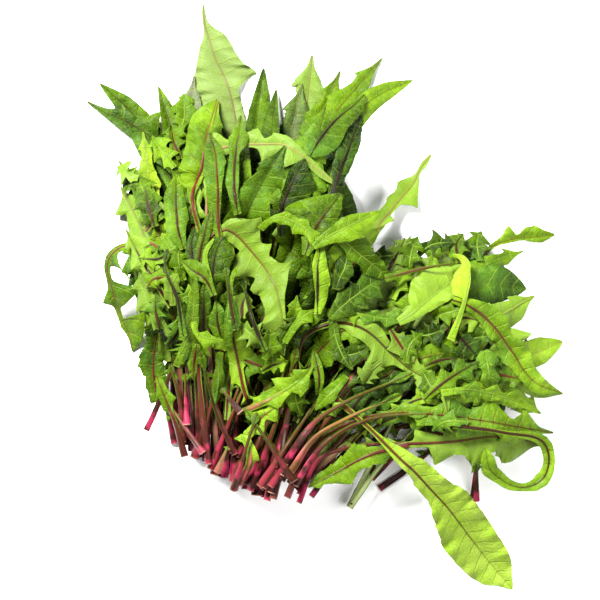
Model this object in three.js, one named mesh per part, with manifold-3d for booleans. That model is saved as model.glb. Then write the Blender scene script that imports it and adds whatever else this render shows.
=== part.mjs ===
// Radicchio: a loose bunch of red-ribbed leaf radicchio, freshly cut and laid down in two overlapping fans,
// one reaching up and one reaching to the right from the same heap of cut stalks.
// Every leaf is a solid of its own: a stalk that runs on as the midrib, with a thin blade on both sides.
// Leaves that were cut off together are fused at their common heel.
// Units are millimetres, +Z is up, and the bunch rests on Z = 0 with its middle over the origin.
import * as THREE from 'three';
import Module from 'manifold-3d';

const wasm = await Module();
wasm.setup();

// Layout: leaf routes are drawn on a square sheet seen from above, x to the right and y down.
const SHEET_STEP = 0.7; // mm for one step of the sheet
const SHEET_MIDDLE = 300; // steps

// Leaf section
const BLADE_THICKNESS = 0.7;
const STALK_EDGE_THICKNESS = 1.5; // at the cut end, thinning to the blade's
const STALK_HALF_WIDTH = 2.4;
const TIP_HALF_WIDTH = 0.6;
const RIB_DEPTH_AT_CUT = 1.6; // how far the rib stands out of the blade's underside
const RIB_DEPTH_AT_TIP = 0.7;
const CREST_SHARE = 0.45; // the rib on the upper side, as a share of its depth
const STEEPEST_HALF = 68; // degrees
const FOLD_FULL_AT = 0.25; // share of the blade over which its fold opens from the flat stalk
const ROLL_GROWS = [0.25, 0.75]; // shares of the leaf between which it rolls on its side

// Leaf outline. Lobes and teeth point backwards, as in a dandelion. depth is the share of the half width
// that the notches take, cell the mm from point to point, and end the share of the blade where its last
// notch lies.
const CUTS = {
  entire: { fullest: 0.56, depth: 0 },
  rounded: { fullest: 0.72, depth: 0 },
  wavy: { fullest: 0.56, depth: 0.15, cell: 26, end: 0.84 },
  toothed: { fullest: 0.52, depth: 0.24, cell: 25, end: 0.86 },
  lobed: { fullest: 0.6, depth: 0.52, cell: 27, end: 0.74 },
};
const ENTIRE_KNOTS = [0, 0.18, 0.38, 0.58, 0.76, 0.92];
const BASE_SHARE = 0.16; // of the half width where the blade begins
const TIP_FULLNESS = 0.8; // exponent of the narrowing towards the tip
const POINT_REACH = [0.84, 1.08]; // of the half width
const NOTCH_REACH = [0.7, 1.2]; // of the cut's depth
const DRAWN_BACK = [0.15, 0.75]; // of the distance to the knot before
const UNEVEN = 0.2; // of a step, by which a point may be off its place
const SHOULDER = { at: 0.3, reach: 1.15 }; // the last points, between the last notch and the tip
const NECK_AT = 0.66;
const STALK_STEP = 36; // mm between two stations of a bare stalk
const WAVES_ALONG = 3.5; // of a blade's margin
const WAVE_HEIGHT = 0.09; // share of the half width
const TIGHTEST = 0.7; // share of the route's own radius that a blade's inner side may take
const BEND_REACH = 12; // mm on both sides over which that radius is measured
const STRAIGHT = 1e-6; // 1/mm, the least turning that is counted

// Heel: the scrap of crown that holds two leaves together where they were cut off
const HEEL_RADIUS = 1.9;
const HEEL_SET_BACK = 3;
const HEEL_SIDES = 8;

// Heap
const CELL = 1.2; // mm, one cell of the height map
const SPREAD = 230; // mm, half the height map's side
const CLEARANCE = 0.5; // mm left under each leaf
const SAMPLE = 0.9; // mm between the points that feel for the heap below
const STALK_SAG = 0.002; // 1/mm, how strongly a leaf bends down between what carries it
const BLADE_SAG = 0.01;
const STEEPEST_SLOPE = 0.62; // rise over run along a leaf
const SETTLING_ROUNDS = 40;
const SINKING_ROUNDS = 60;
const SINKING_STEP = 0.8; // mm
const PRESSED = 0.45; // mm that the lowest ribs are pressed flat
const ABOVE_BED = 0.7; // mm, the height at which all later leaves start

const TAU = 2 * Math.PI;
const LEFT = -1;
const RIGHT = 1;
const radians = THREE.MathUtils.degToRad;
const { lerp, clamp, smoothstep } = THREE.MathUtils;

// The same numbers each time: the minimal standard generator.
const OUTLINE_SEED = 60611;
function drawsFrom(seed) {
  let state = seed;
  return (low = 0, high = 1) => {
    state = (state * 48271) % 2147483647;
    return low + ((high - low) * state) / 2147483647;
  };
}

// Leaf plan. A leaf has its cut, its flat width in mm, the share of its length that is bare stalk, the fold
// and roll of its halves in degrees, and its route on the sheet from the cut end to the tip. turned means
// that the underside faces up, with the rib standing out on top.
const leaf = (cut, width, stalk, fold, roll, route, turned = false) => ({
  cut, width, stalk, fold, roll, route, turned,
});

// Some leaves show whole and keep their own outline: a row for each place along the rib, from the blade's
// base to its tip, with the rib, the left margin and the right margin on the sheet. Left and right are seen
// from above, looking from the cut end to the tip.
const traced = (fold, roll, stalkRoute, rows, turned = false) => ({ fold, roll, stalkRoute, rows, turned });

const TALL_PALE = traced(6, -6, [[238, 482], [245, 380], [247, 250], [243, 170]], [
  [240, 140, 222, 138, 252, 142],
  [236, 120, 206, 120, 247, 122],
  [233, 104, 199, 106, 242, 104],
  [229, 87, 195, 92, 239, 90],
  [223, 72, 193, 74, 256, 71],
  [217, 60, 196, 60, 246, 62],
  [212, 47, 199, 46, 237, 50],
  [208, 33, 203, 33, 229, 36],
  [205, 24, 203, 24, 216, 26],
  [204, 16, 202, 16, 207, 17],
  [203, 2],
], true);

const LEFT_REACH = traced(10, 6, [[206, 462], [203, 360], [198, 260], [189, 198]], [
  [178, 174, 174, 177, 182, 172],
  [168, 157, 158, 163, 173, 155],
  [158, 144, 141, 157, 164, 141],
  [149, 135, 134, 145, 158, 133],
  [141, 129, 129, 135, 161, 111],
  [132, 124, 121, 129, 142, 117],
  [123, 119, 114, 124, 133, 114],
  [114, 115, 107, 118, 121, 103],
  [106, 112, 101, 113, 113, 107],
  [99, 108, 96, 109, 101, 105],
  [86, 100],
]);

const LONE_TOOTHED = traced(7, -8, [[274, 498], [306, 390], [334, 306], [356, 260]], [
  [372, 236, 370, 232, 375, 237],
  [378, 228, 368, 226, 382, 229],
  [384, 220, 376, 215, 395, 220],
  [391, 212, 384, 207, 393, 214],
  [398, 203, 391, 196, 402, 205],
  [404, 196, 397, 190, 419, 206],
  [410, 189, 399, 182, 420, 193],
  [416, 181, 408, 177, 421, 182],
  [420, 172, 418, 171, 422, 173],
  [425, 164, 423, 162, 428, 166],
  [433, 153],
], true);

const ACROSS = traced(6, -6, [[220, 474], [211, 360], [208, 240], [211, 176]], [
  [216, 158, 206, 146, 222, 164],
  [223, 150, 214, 135, 229, 156],
  [231, 148, 228, 141, 236, 154],
  [241, 147, 240, 142, 243, 150],
  [251, 146, 248, 134, 251, 149],
  [259, 146, 260, 131, 259, 151],
  [266, 146, 266, 140, 264, 169],
  [275, 146, 276, 136, 274, 157],
  [285, 147, 288, 138, 284, 155],
  [291, 150, 297, 145, 284, 170],
  [299, 155, 303, 151, 300, 165],
  [308, 162, 311, 159, 308, 168],
  [318, 171, 320, 168, 316, 176],
  [337, 187],
], true);

const LIGHT_HERO = traced(7, 6, [[210, 464], [200, 370], [198, 290], [208, 244]], [
  [220, 233, 224, 226, 218, 238],
  [229, 231, 238, 219, 226, 239],
  [238, 236, 262, 218, 232, 243],
  [246, 244, 262, 231, 241, 251],
  [252, 251, 263, 243, 236, 262],
  [258, 258, 273, 245, 231, 278],
  [263, 264, 271, 257, 243, 277],
  [268, 271, 280, 263, 256, 279],
  [272, 279, 298, 258, 252, 290],
  [277, 288, 290, 276, 260, 296],
  [280, 300, 286, 298, 266, 310],
  [283, 316, 287, 316, 263, 324],
  [284, 334, 288, 334, 271, 338],
  [285, 355],
], true);

const LEFT_CURL = traced(8, 8, [[182, 444], [180, 360], [174, 285], [164, 250]], [
  [150, 243, 150, 246, 150, 240],
  [139, 244, 153, 272, 139, 241],
  [131, 246, 135, 256, 130, 243],
  [124, 247, 124, 252, 123, 244],
  [117, 251, 120, 254, 115, 248],
  [111, 257, 131, 280, 108, 255],
  [108, 266, 112, 267, 105, 266],
  [110, 279, 113, 279, 107, 280],
  [113, 291, 141, 289, 108, 288],
  [115, 299, 128, 303, 103, 303],
  [118, 308, 121, 309, 113, 307],
  [121, 318, 123, 318, 118, 319],
  [125, 326, 144, 313, 120, 327],
  [129, 336, 144, 335, 127, 337],
  [132, 352],
]);

const DARK_ARC = traced(7, -6, [[282, 462], [292, 395], [304, 340], [328, 324]], [
  [345, 323, 346, 318, 343, 328],
  [357, 326, 360, 317, 353, 336],
  [367, 331, 372, 322, 362, 341],
  [376, 338, 383, 330, 370, 351],
  [383, 345, 389, 340, 357, 380],
  [390, 352, 396, 345, 376, 370],
  [398, 359, 405, 352, 394, 365],
  [406, 366, 416, 347, 403, 370],
  [415, 372, 420, 364, 412, 377],
  [423, 376, 431, 368, 423, 400],
  [431, 380, 434, 374, 428, 385],
  [438, 384, 442, 380, 433, 393],
  [443, 393, 448, 391, 439, 396],
  [447, 413],
], true);

const BROWN_ARC = traced(6, 6, [[288, 478], [350, 388], [400, 326], [446, 302]], [
  [466, 304, 467, 299, 464, 308],
  [475, 309, 479, 302, 470, 314],
  [484, 317, 489, 303, 476, 323],
  [492, 324, 499, 316, 483, 333],
  [500, 332, 508, 326, 490, 344],
  [507, 341, 531, 334, 491, 352],
  [513, 351, 520, 345, 498, 365],
  [518, 361, 525, 355, 511, 367],
  [525, 371, 529, 365, 508, 380],
  [533, 380, 535, 375, 518, 387],
  [542, 385, 545, 381, 530, 396],
  [564, 394],
], true);

const RIBBON = traced(10, 6, [[452, 424], [500, 431], [532, 435]], [
  [546, 446, 552, 443, 541, 450],
  [549, 458, 555, 456, 543, 460],
  [548, 468, 554, 471, 542, 467],
  [544, 477, 549, 482, 537, 474],
  [535, 484, 538, 490, 531, 480],
  [523, 487, 523, 491, 522, 483],
  [510, 484, 507, 489, 513, 480],
  [499, 477, 494, 481, 504, 473],
  [490, 469, 482, 471, 497, 466],
  [487, 460, 480, 460, 494, 457],
  [485, 448],
]);

const FAR_CORNER = traced(10, 14, [[284, 478], [362, 396], [438, 318], [484, 262]], [
  [500, 243, 498, 240, 503, 245],
  [510, 240, 512, 226, 512, 243],
  [518, 238, 520, 234, 519, 241],
  [526, 237, 529, 227, 527, 240],
  [534, 237, 538, 225, 537, 242],
  [543, 236, 546, 229, 544, 242],
  [558, 234],
]);

const LONE_BIG = traced(7, 6, [[334, 396], [366, 424], [392, 448]], [
  [404, 461, 409, 451, 400, 465],
  [413, 469, 425, 460, 409, 474],
  [425, 482, 441, 473, 417, 487],
  [436, 494, 456, 484, 429, 501],
  [447, 506, 468, 491, 434, 519],
  [458, 520, 478, 503, 440, 536],
  [469, 535, 490, 519, 445, 552],
  [480, 549, 502, 538, 458, 567],
  [490, 562, 511, 553, 471, 579],
  [500, 574, 515, 567, 484, 587],
  [508, 583, 515, 579, 500, 589],
  [515, 592],
]);

// The bed: these lie flat on the surface and carry the rest on their pressed ribs.
const BED = [
  { name: 'bed_left', leaves: [
    leaf('lobed', 34, 0.42, 8, 0, [[176, 436], [172, 380], [164, 310], [154, 240], [140, 160]])] },
  { name: 'bed_up', leaves: [
    leaf('lobed', 40, 0.42, 8, 0, [[250, 488], [262, 400], [280, 300], [294, 200], [302, 108]])] },
  { name: 'bed_right', leaves: [
    leaf('lobed', 40, 0.42, 8, 0, [[381, 491], [410, 471], [450, 436], [494, 390], [530, 340]])] },
];

// The lower heap, placed by rule: both fans are filled with pairs of leaves cut off together. Strays and
// feet are in sheet steps.
const FAN = {
  shuffle: 5, // pairs from one to the next, so that neighbours aren't laid one after the other
  inCell: [0.2, 0.8], // where a pair lies in its own share of the fan
  pairSpread: 0.09, // share of the fan from a pair's middle to each leaf
  edge: 0.02,
  tipStray: 0.03, // share of the fan
  footStray: 3,
  waistStray: 8,
  middleStray: 10,
  cuts: ['lobed', 'toothed', 'lobed', 'wavy'],
  width: [26, 38], // mm
  stalk: [0.32, 0.48],
  fold: [3, 12],
  roll: [-10, 10],
};
const UP_FAN = {
  name: 'up_fan', sprigs: 7, seed: 4127,
  feet: [[178, 440], [200, 458], [222, 474], [244, 490], [262, 498]],
  waist: [[176, 350], [206, 350], [236, 350], [268, 350], [306, 350]],
  tips: [[118, 200], [134, 110], [215, 76], [296, 84], [350, 136]],
  reach: [0.6, 0.96],
  setIn: [0, 0.35],
};
const RIGHT_FAN = {
  name: 'right_fan', sprigs: 6, seed: 9311,
  feet: [[270, 462], [286, 474], [300, 490], [330, 498], [372, 500]],
  waist: [[330, 370], [352, 382], [370, 400], [388, 420], [412, 440]],
  tips: [[404, 246], [476, 250], [532, 304], [540, 370], [528, 428]],
  reach: [0.62, 0.95],
  setIn: [0, 0.45],
};

// The leaves that show, from the lowest to the highest.
const SHOWN = [
  { name: 'pale_feet', leaves: [
    leaf('lobed', 32, 0.45, 8, 6, [[351, 509], [372, 466], [400, 408], [426, 350], [440, 300]]),
    leaf('toothed', 28, 0.45, 8, -6, [[351, 509], [384, 464], [424, 420], [460, 380], [500, 350]])] },
  { name: 'dark_foot', leaves: [
    leaf('lobed', 30, 0.3, 8, 6, [[475, 501], [478, 462], [474, 420], [462, 380], [440, 330]])] },
  { name: 'tall_pale', leaves: [
    TALL_PALE,
    leaf('toothed', 28, 0.5, 8, 8,
      [[238, 482], [236, 380], [218, 260], [199, 170], [190, 122], [194, 74]])] },
  { name: 'ridge_left', leaves: [
    leaf('lobed', 34, 0.42, 8, 8, [[276, 480], [304, 392], [332, 330], [352, 290], [374, 248]]),
    leaf('lobed', 34, 0.45, 8, -8, [[276, 480], [318, 390], [352, 322], [376, 282], [396, 244]])] },
  { name: 'ridge_leaves', leaves: [
    leaf('lobed', 34, 0.5, 8, -10, [[278, 472], [322, 390], [364, 310], [394, 268], [412, 236]]),
    leaf('lobed', 34, 0.5, 10, 10, [[278, 472], [336, 392], [398, 310], [436, 268], [459, 235]])] },
  { name: 'ridge_right', leaves: [
    leaf('toothed', 34, 0.5, 10, -8, [[284, 478], [350, 392], [418, 312], [458, 268], [486, 236]]),
    FAR_CORNER] },
  { name: 'left_reach', leaves: [
    leaf('entire', 18, 0.62, 12, 8, [[206, 462], [204, 360], [192, 250], [168, 170], [136, 117], [99, 82]]),
    LEFT_REACH,
    leaf('entire', 20, 0.55, 24, 24, [[206, 462], [208, 360], [198, 250], [180, 160], [158, 85]])] },
  { name: 'crown_right', leaves: [
    leaf('wavy', 36, 0.5, 8, -8, [[256, 496], [272, 380], [288, 260], [302, 150], [313, 53]], true),
    leaf('wavy', 34, 0.5, 10, 12, [[256, 496], [266, 370], [278, 260], [290, 150], [303, 82]])] },
  { name: 'dark_horns', leaves: [
    leaf('entire', 24, 0.5, 26, 24, [[246, 490], [252, 370], [252, 250], [254, 150], [264, 66]]),
    leaf('entire', 18, 0.55, 22, -20, [[246, 490], [258, 370], [264, 260], [270, 160], [277, 88]])] },
  { name: 'far_right', leaves: [
    leaf('wavy', 20, 0.6, 12, 10, [[290, 484], [372, 398], [440, 322], [482, 270], [526, 251]]),
    leaf('rounded', 27, 0.6, 6, 6, [[290, 484], [378, 402], [440, 336], [478, 288], [528, 289]])] },
  { name: 'long_light', leaves: [
    leaf('toothed', 28, 0.5, 12, 16, [[252, 486], [262, 380], [280, 260], [306, 160], [341, 69]]),
    leaf('wavy', 26, 0.5, 14, -18,
      [[252, 486], [258, 380], [270, 270], [288, 194], [324, 128], [384, 56]])] },
  { name: 'dark_right', leaves: [
    leaf('wavy', 28, 0.45, 12, -18,
      [[266, 498], [284, 380], [304, 270], [324, 190], [350, 136], [365, 104]]),
    leaf('entire', 16, 0.74, 10, 12,
      [[266, 498], [288, 370], [310, 270], [334, 172], [366, 106], [414, 79]])] },
  { name: 'bright_right', leaves: [
    leaf('wavy', 34, 0.45, 8, 14, [[260, 496], [272, 380], [286, 280], [304, 196], [326, 108]])] },
  { name: 'left_star', leaves: [
    leaf('lobed', 34, 0.6, 6, -12, [[186, 446], [174, 356], [158, 285], [146, 238], [120, 186]], true),
    leaf('lobed', 28, 0.6, 12, 10, [[186, 446], [180, 350], [168, 270], [150, 208], [118, 160]])] },
  { name: 'pale_panel', leaves: [
    leaf('toothed', 30, 0.45, 6, 10, [[282, 474], [326, 390], [360, 310], [402, 277], [467, 261]], true),
    leaf('wavy', 40, 0.5, 6, -8, [[282, 474], [344, 400], [386, 345], [418, 310], [462, 266]], true)] },
  { name: 'right_edge', leaves: [
    leaf('wavy', 34, 0.5, 8, 8, [[296, 488], [376, 404], [446, 350], [490, 322], [536, 296]], true),
    leaf('rounded', 20, 0.62, 10, -10, [[296, 488], [388, 412], [460, 378], [515, 362], [566, 342]])] },
  { name: 'yellow_stripe', leaves: [
    leaf('toothed', 20, 0.55, 20, -16, [[192, 452], [188, 370], [170, 275], [154, 200], [143, 131]])] },
  { name: 'red_ribs', leaves: [
    leaf('wavy', 30, 0.45, 12, -12,
      [[214, 468], [214, 370], [203, 275], [198, 212], [206, 155], [219, 100]]),
    leaf('wavy', 28, 0.45, 18, 10, [[214, 468], [222, 370], [222, 290], [221, 215], [211, 137]])] },
  { name: 'narrow_middle', leaves: [
    leaf('entire', 24, 0.5, 18, 16, [[236, 484], [240, 370], [237, 270], [236, 190], [241, 117]])] },
  { name: 'across', leaves: [ACROSS] },
  { name: 'folded_big', leaves: [
    leaf('wavy', 38, 0.4, 20, 12,
      [[226, 478], [228, 370], [232, 290], [244, 228], [264, 184], [286, 148]])] },
  { name: 'bumpy', leaves: [
    leaf('toothed', 34, 0.45, 6, -6, [[200, 458], [196, 370], [188, 310], [182, 245], [179, 175]])] },
  { name: 'left_curl', leaves: [LEFT_CURL] },
  { name: 'low_left', leaves: [
    leaf('toothed', 24, 0.34, 10, 14,
      [[205, 451], [180, 424], [161, 400], [154, 372], [158, 335], [170, 292]])] },
  { name: 'left_stalk', leaves: [
    leaf('toothed', 22, 0.5, 12, -12, [[147, 431], [163, 396], [178, 352], [190, 306], [196, 256]])] },
  { name: 'curved_rib', leaves: [
    leaf('wavy', 32, 0.5, 8, -16,
      [[235, 452], [216, 405], [200, 354], [182, 326], [167, 296], [166, 266], [188, 236]])] },
  { name: 'brow_and_wedge', leaves: [
    leaf('toothed', 28, 0.45, 14, -12, [[268, 500], [288, 385], [298, 310], [306, 250], [331, 196]]),
    leaf('wavy', 30, 0.45, 10, 12, [[268, 500], [296, 385], [311, 310], [322, 250], [343, 196]])] },
  { name: 'lone_and_spear', leaves: [
    LONE_TOOTHED,
    leaf('wavy', 26, 0.5, 22, 10, [[274, 498], [300, 390], [316, 315], [340, 262], [385, 226]])] },
  { name: 'dark_upright', leaves: [
    leaf('toothed', 28, 0.4, 16, 14, [[272, 492], [304, 400], [319, 330], [321, 275], [309, 232]])] },
  { name: 'orange_stalk', leaves: [
    leaf('lobed', 34, 0.45, 8, -10, [[300, 494], [318, 452], [350, 410], [400, 382], [452, 360]])] },
  { name: 'middle_star', leaves: [
    leaf('toothed', 28, 0.45, 8, 12, [[292, 482], [342, 412], [395, 370], [440, 354], [487, 355]])] },
  { name: 'lower_right', leaves: [
    leaf('wavy', 34, 0.45, 6, 8, [[312, 496], [362, 436], [420, 408], [470, 408], [510, 424]]),
    leaf('toothed', 32, 0.5, 8, -8, [[312, 496], [370, 424], [440, 392], [495, 390], [542, 414]])] },
  { name: 'brown_arc', leaves: [BROWN_ARC] },
  { name: 'toothed_over', leaves: [
    leaf('lobed', 30, 0.4, 10, -8, [[276, 466], [290, 410], [312, 362], [346, 330], [398, 332]])] },
  { name: 'crossing_low', leaves: [
    leaf('toothed', 24, 0.5, 10, 8, [[235, 490], [255, 417], [275, 372], [290, 334], [298, 296]])] },
  { name: 'low_bright', leaves: [
    leaf('lobed', 34, 0.4, 6, 8, [[294, 478], [270, 440], [249, 402], [238, 355], [229, 300], [234, 240]])] },
  { name: 'small_over', leaves: [
    leaf('toothed', 20, 0.12, 10, 8, [[244, 412], [262, 404], [280, 392], [296, 380], [313, 365]])] },
  { name: 'long_maroon', leaves: [
    leaf('lobed', 46, 0.5, 6, 8,
      [[300, 502], [326, 452], [384, 444], [450, 441], [500, 436], [548, 446]], true)] },
  { name: 'long_red', leaves: [
    leaf('lobed', 30, 0.45, 8, -10,
      [[288, 496], [306, 456], [345, 424], [400, 412], [470, 418], [554, 433]])] },
  { name: 'dark_arc', leaves: [DARK_ARC] },
  { name: 'light_hero', leaves: [LIGHT_HERO] },
  { name: 'ribbon', leaves: [RIBBON] },
  { name: 'small_low', leaves: [
    leaf('toothed', 22, 0.1, 8, -8, [[408, 444], [370, 454], [340, 470], [309, 486]])] },
  { name: 'lone_big', leaves: [LONE_BIG] },
];

// Outline of a blade as knots from its base (u = 0) to its tip (u = 1). A knot holds, for each side, the
// half width in mm and how far the point is drawn back towards the base.
function outline(plan, bladeLength, draw) {
  const { fullest, depth, cell, end } = CUTS[plan.cut];
  const half = plan.width / 2;
  const fullness = (u) => (u < fullest
    ? lerp(BASE_SHARE, 1, Math.sin((Math.PI / 2) * (u / fullest)))
    : Math.cos((Math.PI / 2) * ((u - fullest) / (1 - fullest))) ** TIP_FULLNESS);
  const point = (u, before, share) => ({
    width: half * fullness(u) * share * draw(...POINT_REACH),
    back: draw(...DRAWN_BACK) * (u - before) * bladeLength,
  });
  const notch = (u) => ({ width: half * fullness(u) * (1 - depth * draw(...NOTCH_REACH)), back: 0 });
  const tip = { width: TIP_HALF_WIDTH, back: 0 };
  if (depth === 0) {
    const knots = ENTIRE_KNOTS.map((u) => ({ u, left: notch(u), right: notch(u) }));
    return [...knots, { u: 1, left: tip, right: tip }];
  }
  const steps = 2 * Math.max(2, Math.round((bladeLength * end) / cell));
  const knots = [];
  for (let k = 0; k <= steps; k++) {
    const off = k > 0 && k < steps ? draw(-UNEVEN, UNEVEN) : 0;
    const u = (end * (k + off)) / steps;
    const before = (end * (k - 1)) / steps;
    const sides = [point(u, before, 1), notch(u)];
    if (k % 2 === 0) sides.reverse();
    knots.push({ u, left: sides[0], right: sides[1] });
  }
  const shoulder = lerp(end, 1, SHOULDER.at);
  knots.push({
    u: shoulder,
    left: point(shoulder, end, SHOULDER.reach),
    right: point(shoulder, end, SHOULDER.reach),
  });
  const neck = lerp(end, 1, NECK_AT);
  knots.push({ u: neck, left: notch(neck), right: notch(neck) });
  return [...knots, { u: 1, left: tip, right: tip }];
}

const onSheet = (x, y) => new THREE.Vector2((x - SHEET_MIDDLE) * SHEET_STEP, (SHEET_MIDDLE - y) * SHEET_STEP);
const toTheRight = (ahead) => new THREE.Vector2(ahead.y, -ahead.x);

function slantOf(plan, sign, alongBlade, alongLeaf) {
  const fold = plan.fold * clamp(alongBlade / FOLD_FULL_AT, 0, 1);
  const roll = plan.roll * smoothstep(alongLeaf, ...ROLL_GROWS);
  return radians(clamp(fold - sign * roll, -STEEPEST_HALF, STEEPEST_HALF));
}

// A bare stalk's places, evenly spaced along its route. Margins are kept as plan vectors from the rib, with
// their slant and their rise.
function stalkPlaces(route, upTo, length) {
  const steps = Math.ceil(upTo / STALK_STEP);
  return Array.from({ length: steps }, (_, k) => {
    const s = (upTo * k) / steps;
    const half = lerp(STALK_HALF_WIDTH, TIP_HALF_WIDTH, s / length);
    const side = toTheRight(route.getTangentAt(s / route.getLength())).multiplyScalar(half);
    const margins = [side.clone().negate(), side].map((over) => ({ over, slant: 0, rise: 0 }));
    return { s, at: route.getPointAt(s / route.getLength()), margins };
  });
}

// Places along a leaf that is drawn by rule.
function ruledPlaces(plan, draw) {
  const route = new THREE.SplineCurve(plan.route.map(([x, y]) => onSheet(x, y)));
  const length = route.getLength();
  const bladeStart = plan.stalk * length;
  const bladeLength = length - bladeStart;
  const phases = [draw(0, TAU), draw(0, TAU)];
  const blade = outline(plan, bladeLength, draw).map((knot) => {
    const s = bladeStart + knot.u * bladeLength;
    const share = Math.min(s / length, 1);
    const ahead = route.getTangentAt(share);
    const entering = route.getTangentAt(Math.max(share - BEND_REACH / length, 0));
    const leaving = route.getTangentAt(Math.min(share + BEND_REACH / length, 1));
    const turning = entering.cross(leaving) / (2 * BEND_REACH); // to the left where positive, in 1/mm
    const ribHalf = lerp(STALK_HALF_WIDTH, TIP_HALF_WIDTH, share);
    const margins = [LEFT, RIGHT].map((sign, k) => {
      const { width: drawn, back } = sign === LEFT ? knot.left : knot.right;
      const room = TIGHTEST / Math.max(-sign * turning, STRAIGHT);
      const width = Math.max(Math.min(drawn, room), ribHalf);
      const slant = slantOf(plan, sign, knot.u, share);
      const over = toTheRight(ahead).multiplyScalar(sign * width * Math.cos(slant));
      if (width > ribHalf) over.addScaledVector(ahead, -back);
      const wave = WAVE_HEIGHT * width * Math.sin(TAU * WAVES_ALONG * knot.u + phases[k]);
      return { over, slant, rise: width * Math.sin(slant) + wave };
    });
    return { s, at: route.getPointAt(share), margins };
  });
  return { length, bladeStart, places: [...stalkPlaces(route, bladeStart, length), ...blade] };
}

// Places along a leaf that keeps its own outline.
function tracedPlaces(plan, draw) {
  const ribs = plan.rows.map(([x, y]) => onSheet(x, y));
  const route = new THREE.SplineCurve([...plan.stalkRoute.map(([x, y]) => onSheet(x, y)), ribs[0]]);
  const bladeStart = route.getLength();
  const steps = ribs.map((rib, k) => (k ? rib.distanceTo(ribs[k - 1]) : 0));
  const length = bladeStart + steps.reduce((sum, step) => sum + step, 0);
  const phases = [draw(0, TAU), draw(0, TAU)];
  let s = bladeStart;
  const blade = plan.rows.map((row, i) => {
    s += steps[i];
    const alongBlade = (s - bladeStart) / (length - bladeStart);
    const [before, after] = [ribs[Math.max(i - 1, 0)], ribs[Math.min(i + 1, ribs.length - 1)]];
    const ahead = after.clone().sub(before).normalize();
    const margins = [LEFT, RIGHT].map((sign, k) => {
      const over = row.length === 2
        ? toTheRight(ahead).multiplyScalar(sign * TIP_HALF_WIDTH)
        : onSheet(row[2 + 2 * k], row[3 + 2 * k]).sub(ribs[i]);
      const slant = slantOf(plan, sign, alongBlade, s / length);
      const wave = WAVE_HEIGHT * over.length() * Math.sin(TAU * WAVES_ALONG * alongBlade + phases[k]);
      return { over, slant, rise: over.length() * Math.tan(slant) + wave };
    });
    return { s, at: ribs[i], margins };
  });
  return { length, bladeStart, places: [...stalkPlaces(route, bladeStart, length), ...blade] };
}

// The leaf's stations before it is laid down: six points each, with z counted from the rib's own height.
function stationsOf(plan, draw) {
  const { length, bladeStart, places } = plan.rows ? tracedPlaces(plan, draw) : ruledPlaces(plan, draw);
  return places.map(({ s, at, margins }) => {
    const edge = lerp(STALK_EDGE_THICKNESS, BLADE_THICKNESS, clamp(s / bladeStart, 0, 1)) / 2;
    const depth = lerp(RIB_DEPTH_AT_CUT, RIB_DEPTH_AT_TIP, s / length);
    const lower = Math.max(plan.turned ? CREST_SHARE * depth : depth, edge);
    const upper = Math.max(plan.turned ? depth : CREST_SHARE * depth, edge);
    const margin = ({ over, slant, rise }, offset) => {
      const inward = -offset * Math.sin(slant);
      const level = at.clone().add(over).addScaledVector(over.clone().normalize(), inward);
      return new THREE.Vector3(level.x, level.y, rise + offset * Math.cos(slant));
    };
    const [left, right] = margins;
    return {
      s,
      points: [
        margin(left, edge),
        new THREE.Vector3(at.x, at.y, upper),
        margin(right, edge),
        margin(right, -edge),
        new THREE.Vector3(at.x, at.y, -lower),
        margin(left, -edge),
      ],
    };
  });
}

// Triangles of a strip between two stations, as [station step, point] corners that go round anticlockwise
// from outside. Both faces are split the same way.
const UPPER_SIDE = [
  [[0, 0], [0, 1], [1, 0]], [[0, 1], [1, 1], [1, 0]],
  [[0, 1], [0, 2], [1, 2]], [[0, 1], [1, 2], [1, 1]],
];
const LOWER_SIDE = [
  [[0, 5], [1, 5], [0, 4]], [[0, 4], [1, 5], [1, 4]],
  [[0, 4], [1, 3], [0, 3]], [[0, 4], [1, 4], [1, 3]],
];
const EDGES = [
  [[0, 2], [0, 3], [1, 3]], [[0, 2], [1, 3], [1, 2]],
  [[0, 5], [0, 0], [1, 0]], [[0, 5], [1, 0], [1, 5]],
];
const END_CAP = [[0, 1, 5], [1, 4, 5], [1, 2, 3], [1, 3, 4]];

// The heap so far, as a height map seen from above.
const cells = Math.ceil((2 * SPREAD) / CELL);
const heap = new Float64Array(cells * cells);
const cellOf = (v) => clamp(Math.floor((v + SPREAD) / CELL), 1, cells - 2);

function heapUnder(x, y) {
  const i = cellOf(x);
  const j = cellOf(y);
  let top = 0;
  for (let b = j - 1; b <= j + 1; b++) {
    for (let a = i - 1; a <= i + 1; a++) top = Math.max(top, heap[b * cells + a]);
  }
  return top;
}

function raiseHeap(x, y, z) {
  const k = cellOf(y) * cells + cellOf(x);
  heap[k] = Math.max(heap[k], z);
}

// Calls visit(x, y, z, strip, share) at points spread evenly over one side of the leaf, where the share
// counts how far the point is from the strip's first station to its second.
function feel(stations, side, visit) {
  for (let i = 0; i + 1 < stations.length; i++) {
    for (const corners of side) {
      const [a, b, c] = corners.map(([step, k]) => stations[i + step].points[k]);
      const [stepA, stepB, stepC] = corners.map(([step]) => step);
      const longest = Math.max(a.distanceTo(b), b.distanceTo(c), c.distanceTo(a));
      const n = Math.max(1, Math.ceil(longest / SAMPLE));
      for (let p = 0; p <= n; p++) {
        for (let q = 0; p + q <= n; q++) {
          const [u, v, w] = [p / n, q / n, (n - p - q) / n];
          visit(
            u * a.x + v * b.x + w * c.x,
            u * a.y + v * b.y + w * c.y,
            u * a.z + v * b.z + w * c.z,
            i,
            u * stepA + v * stepB + w * stepC,
          );
        }
      }
    }
  }
}

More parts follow.
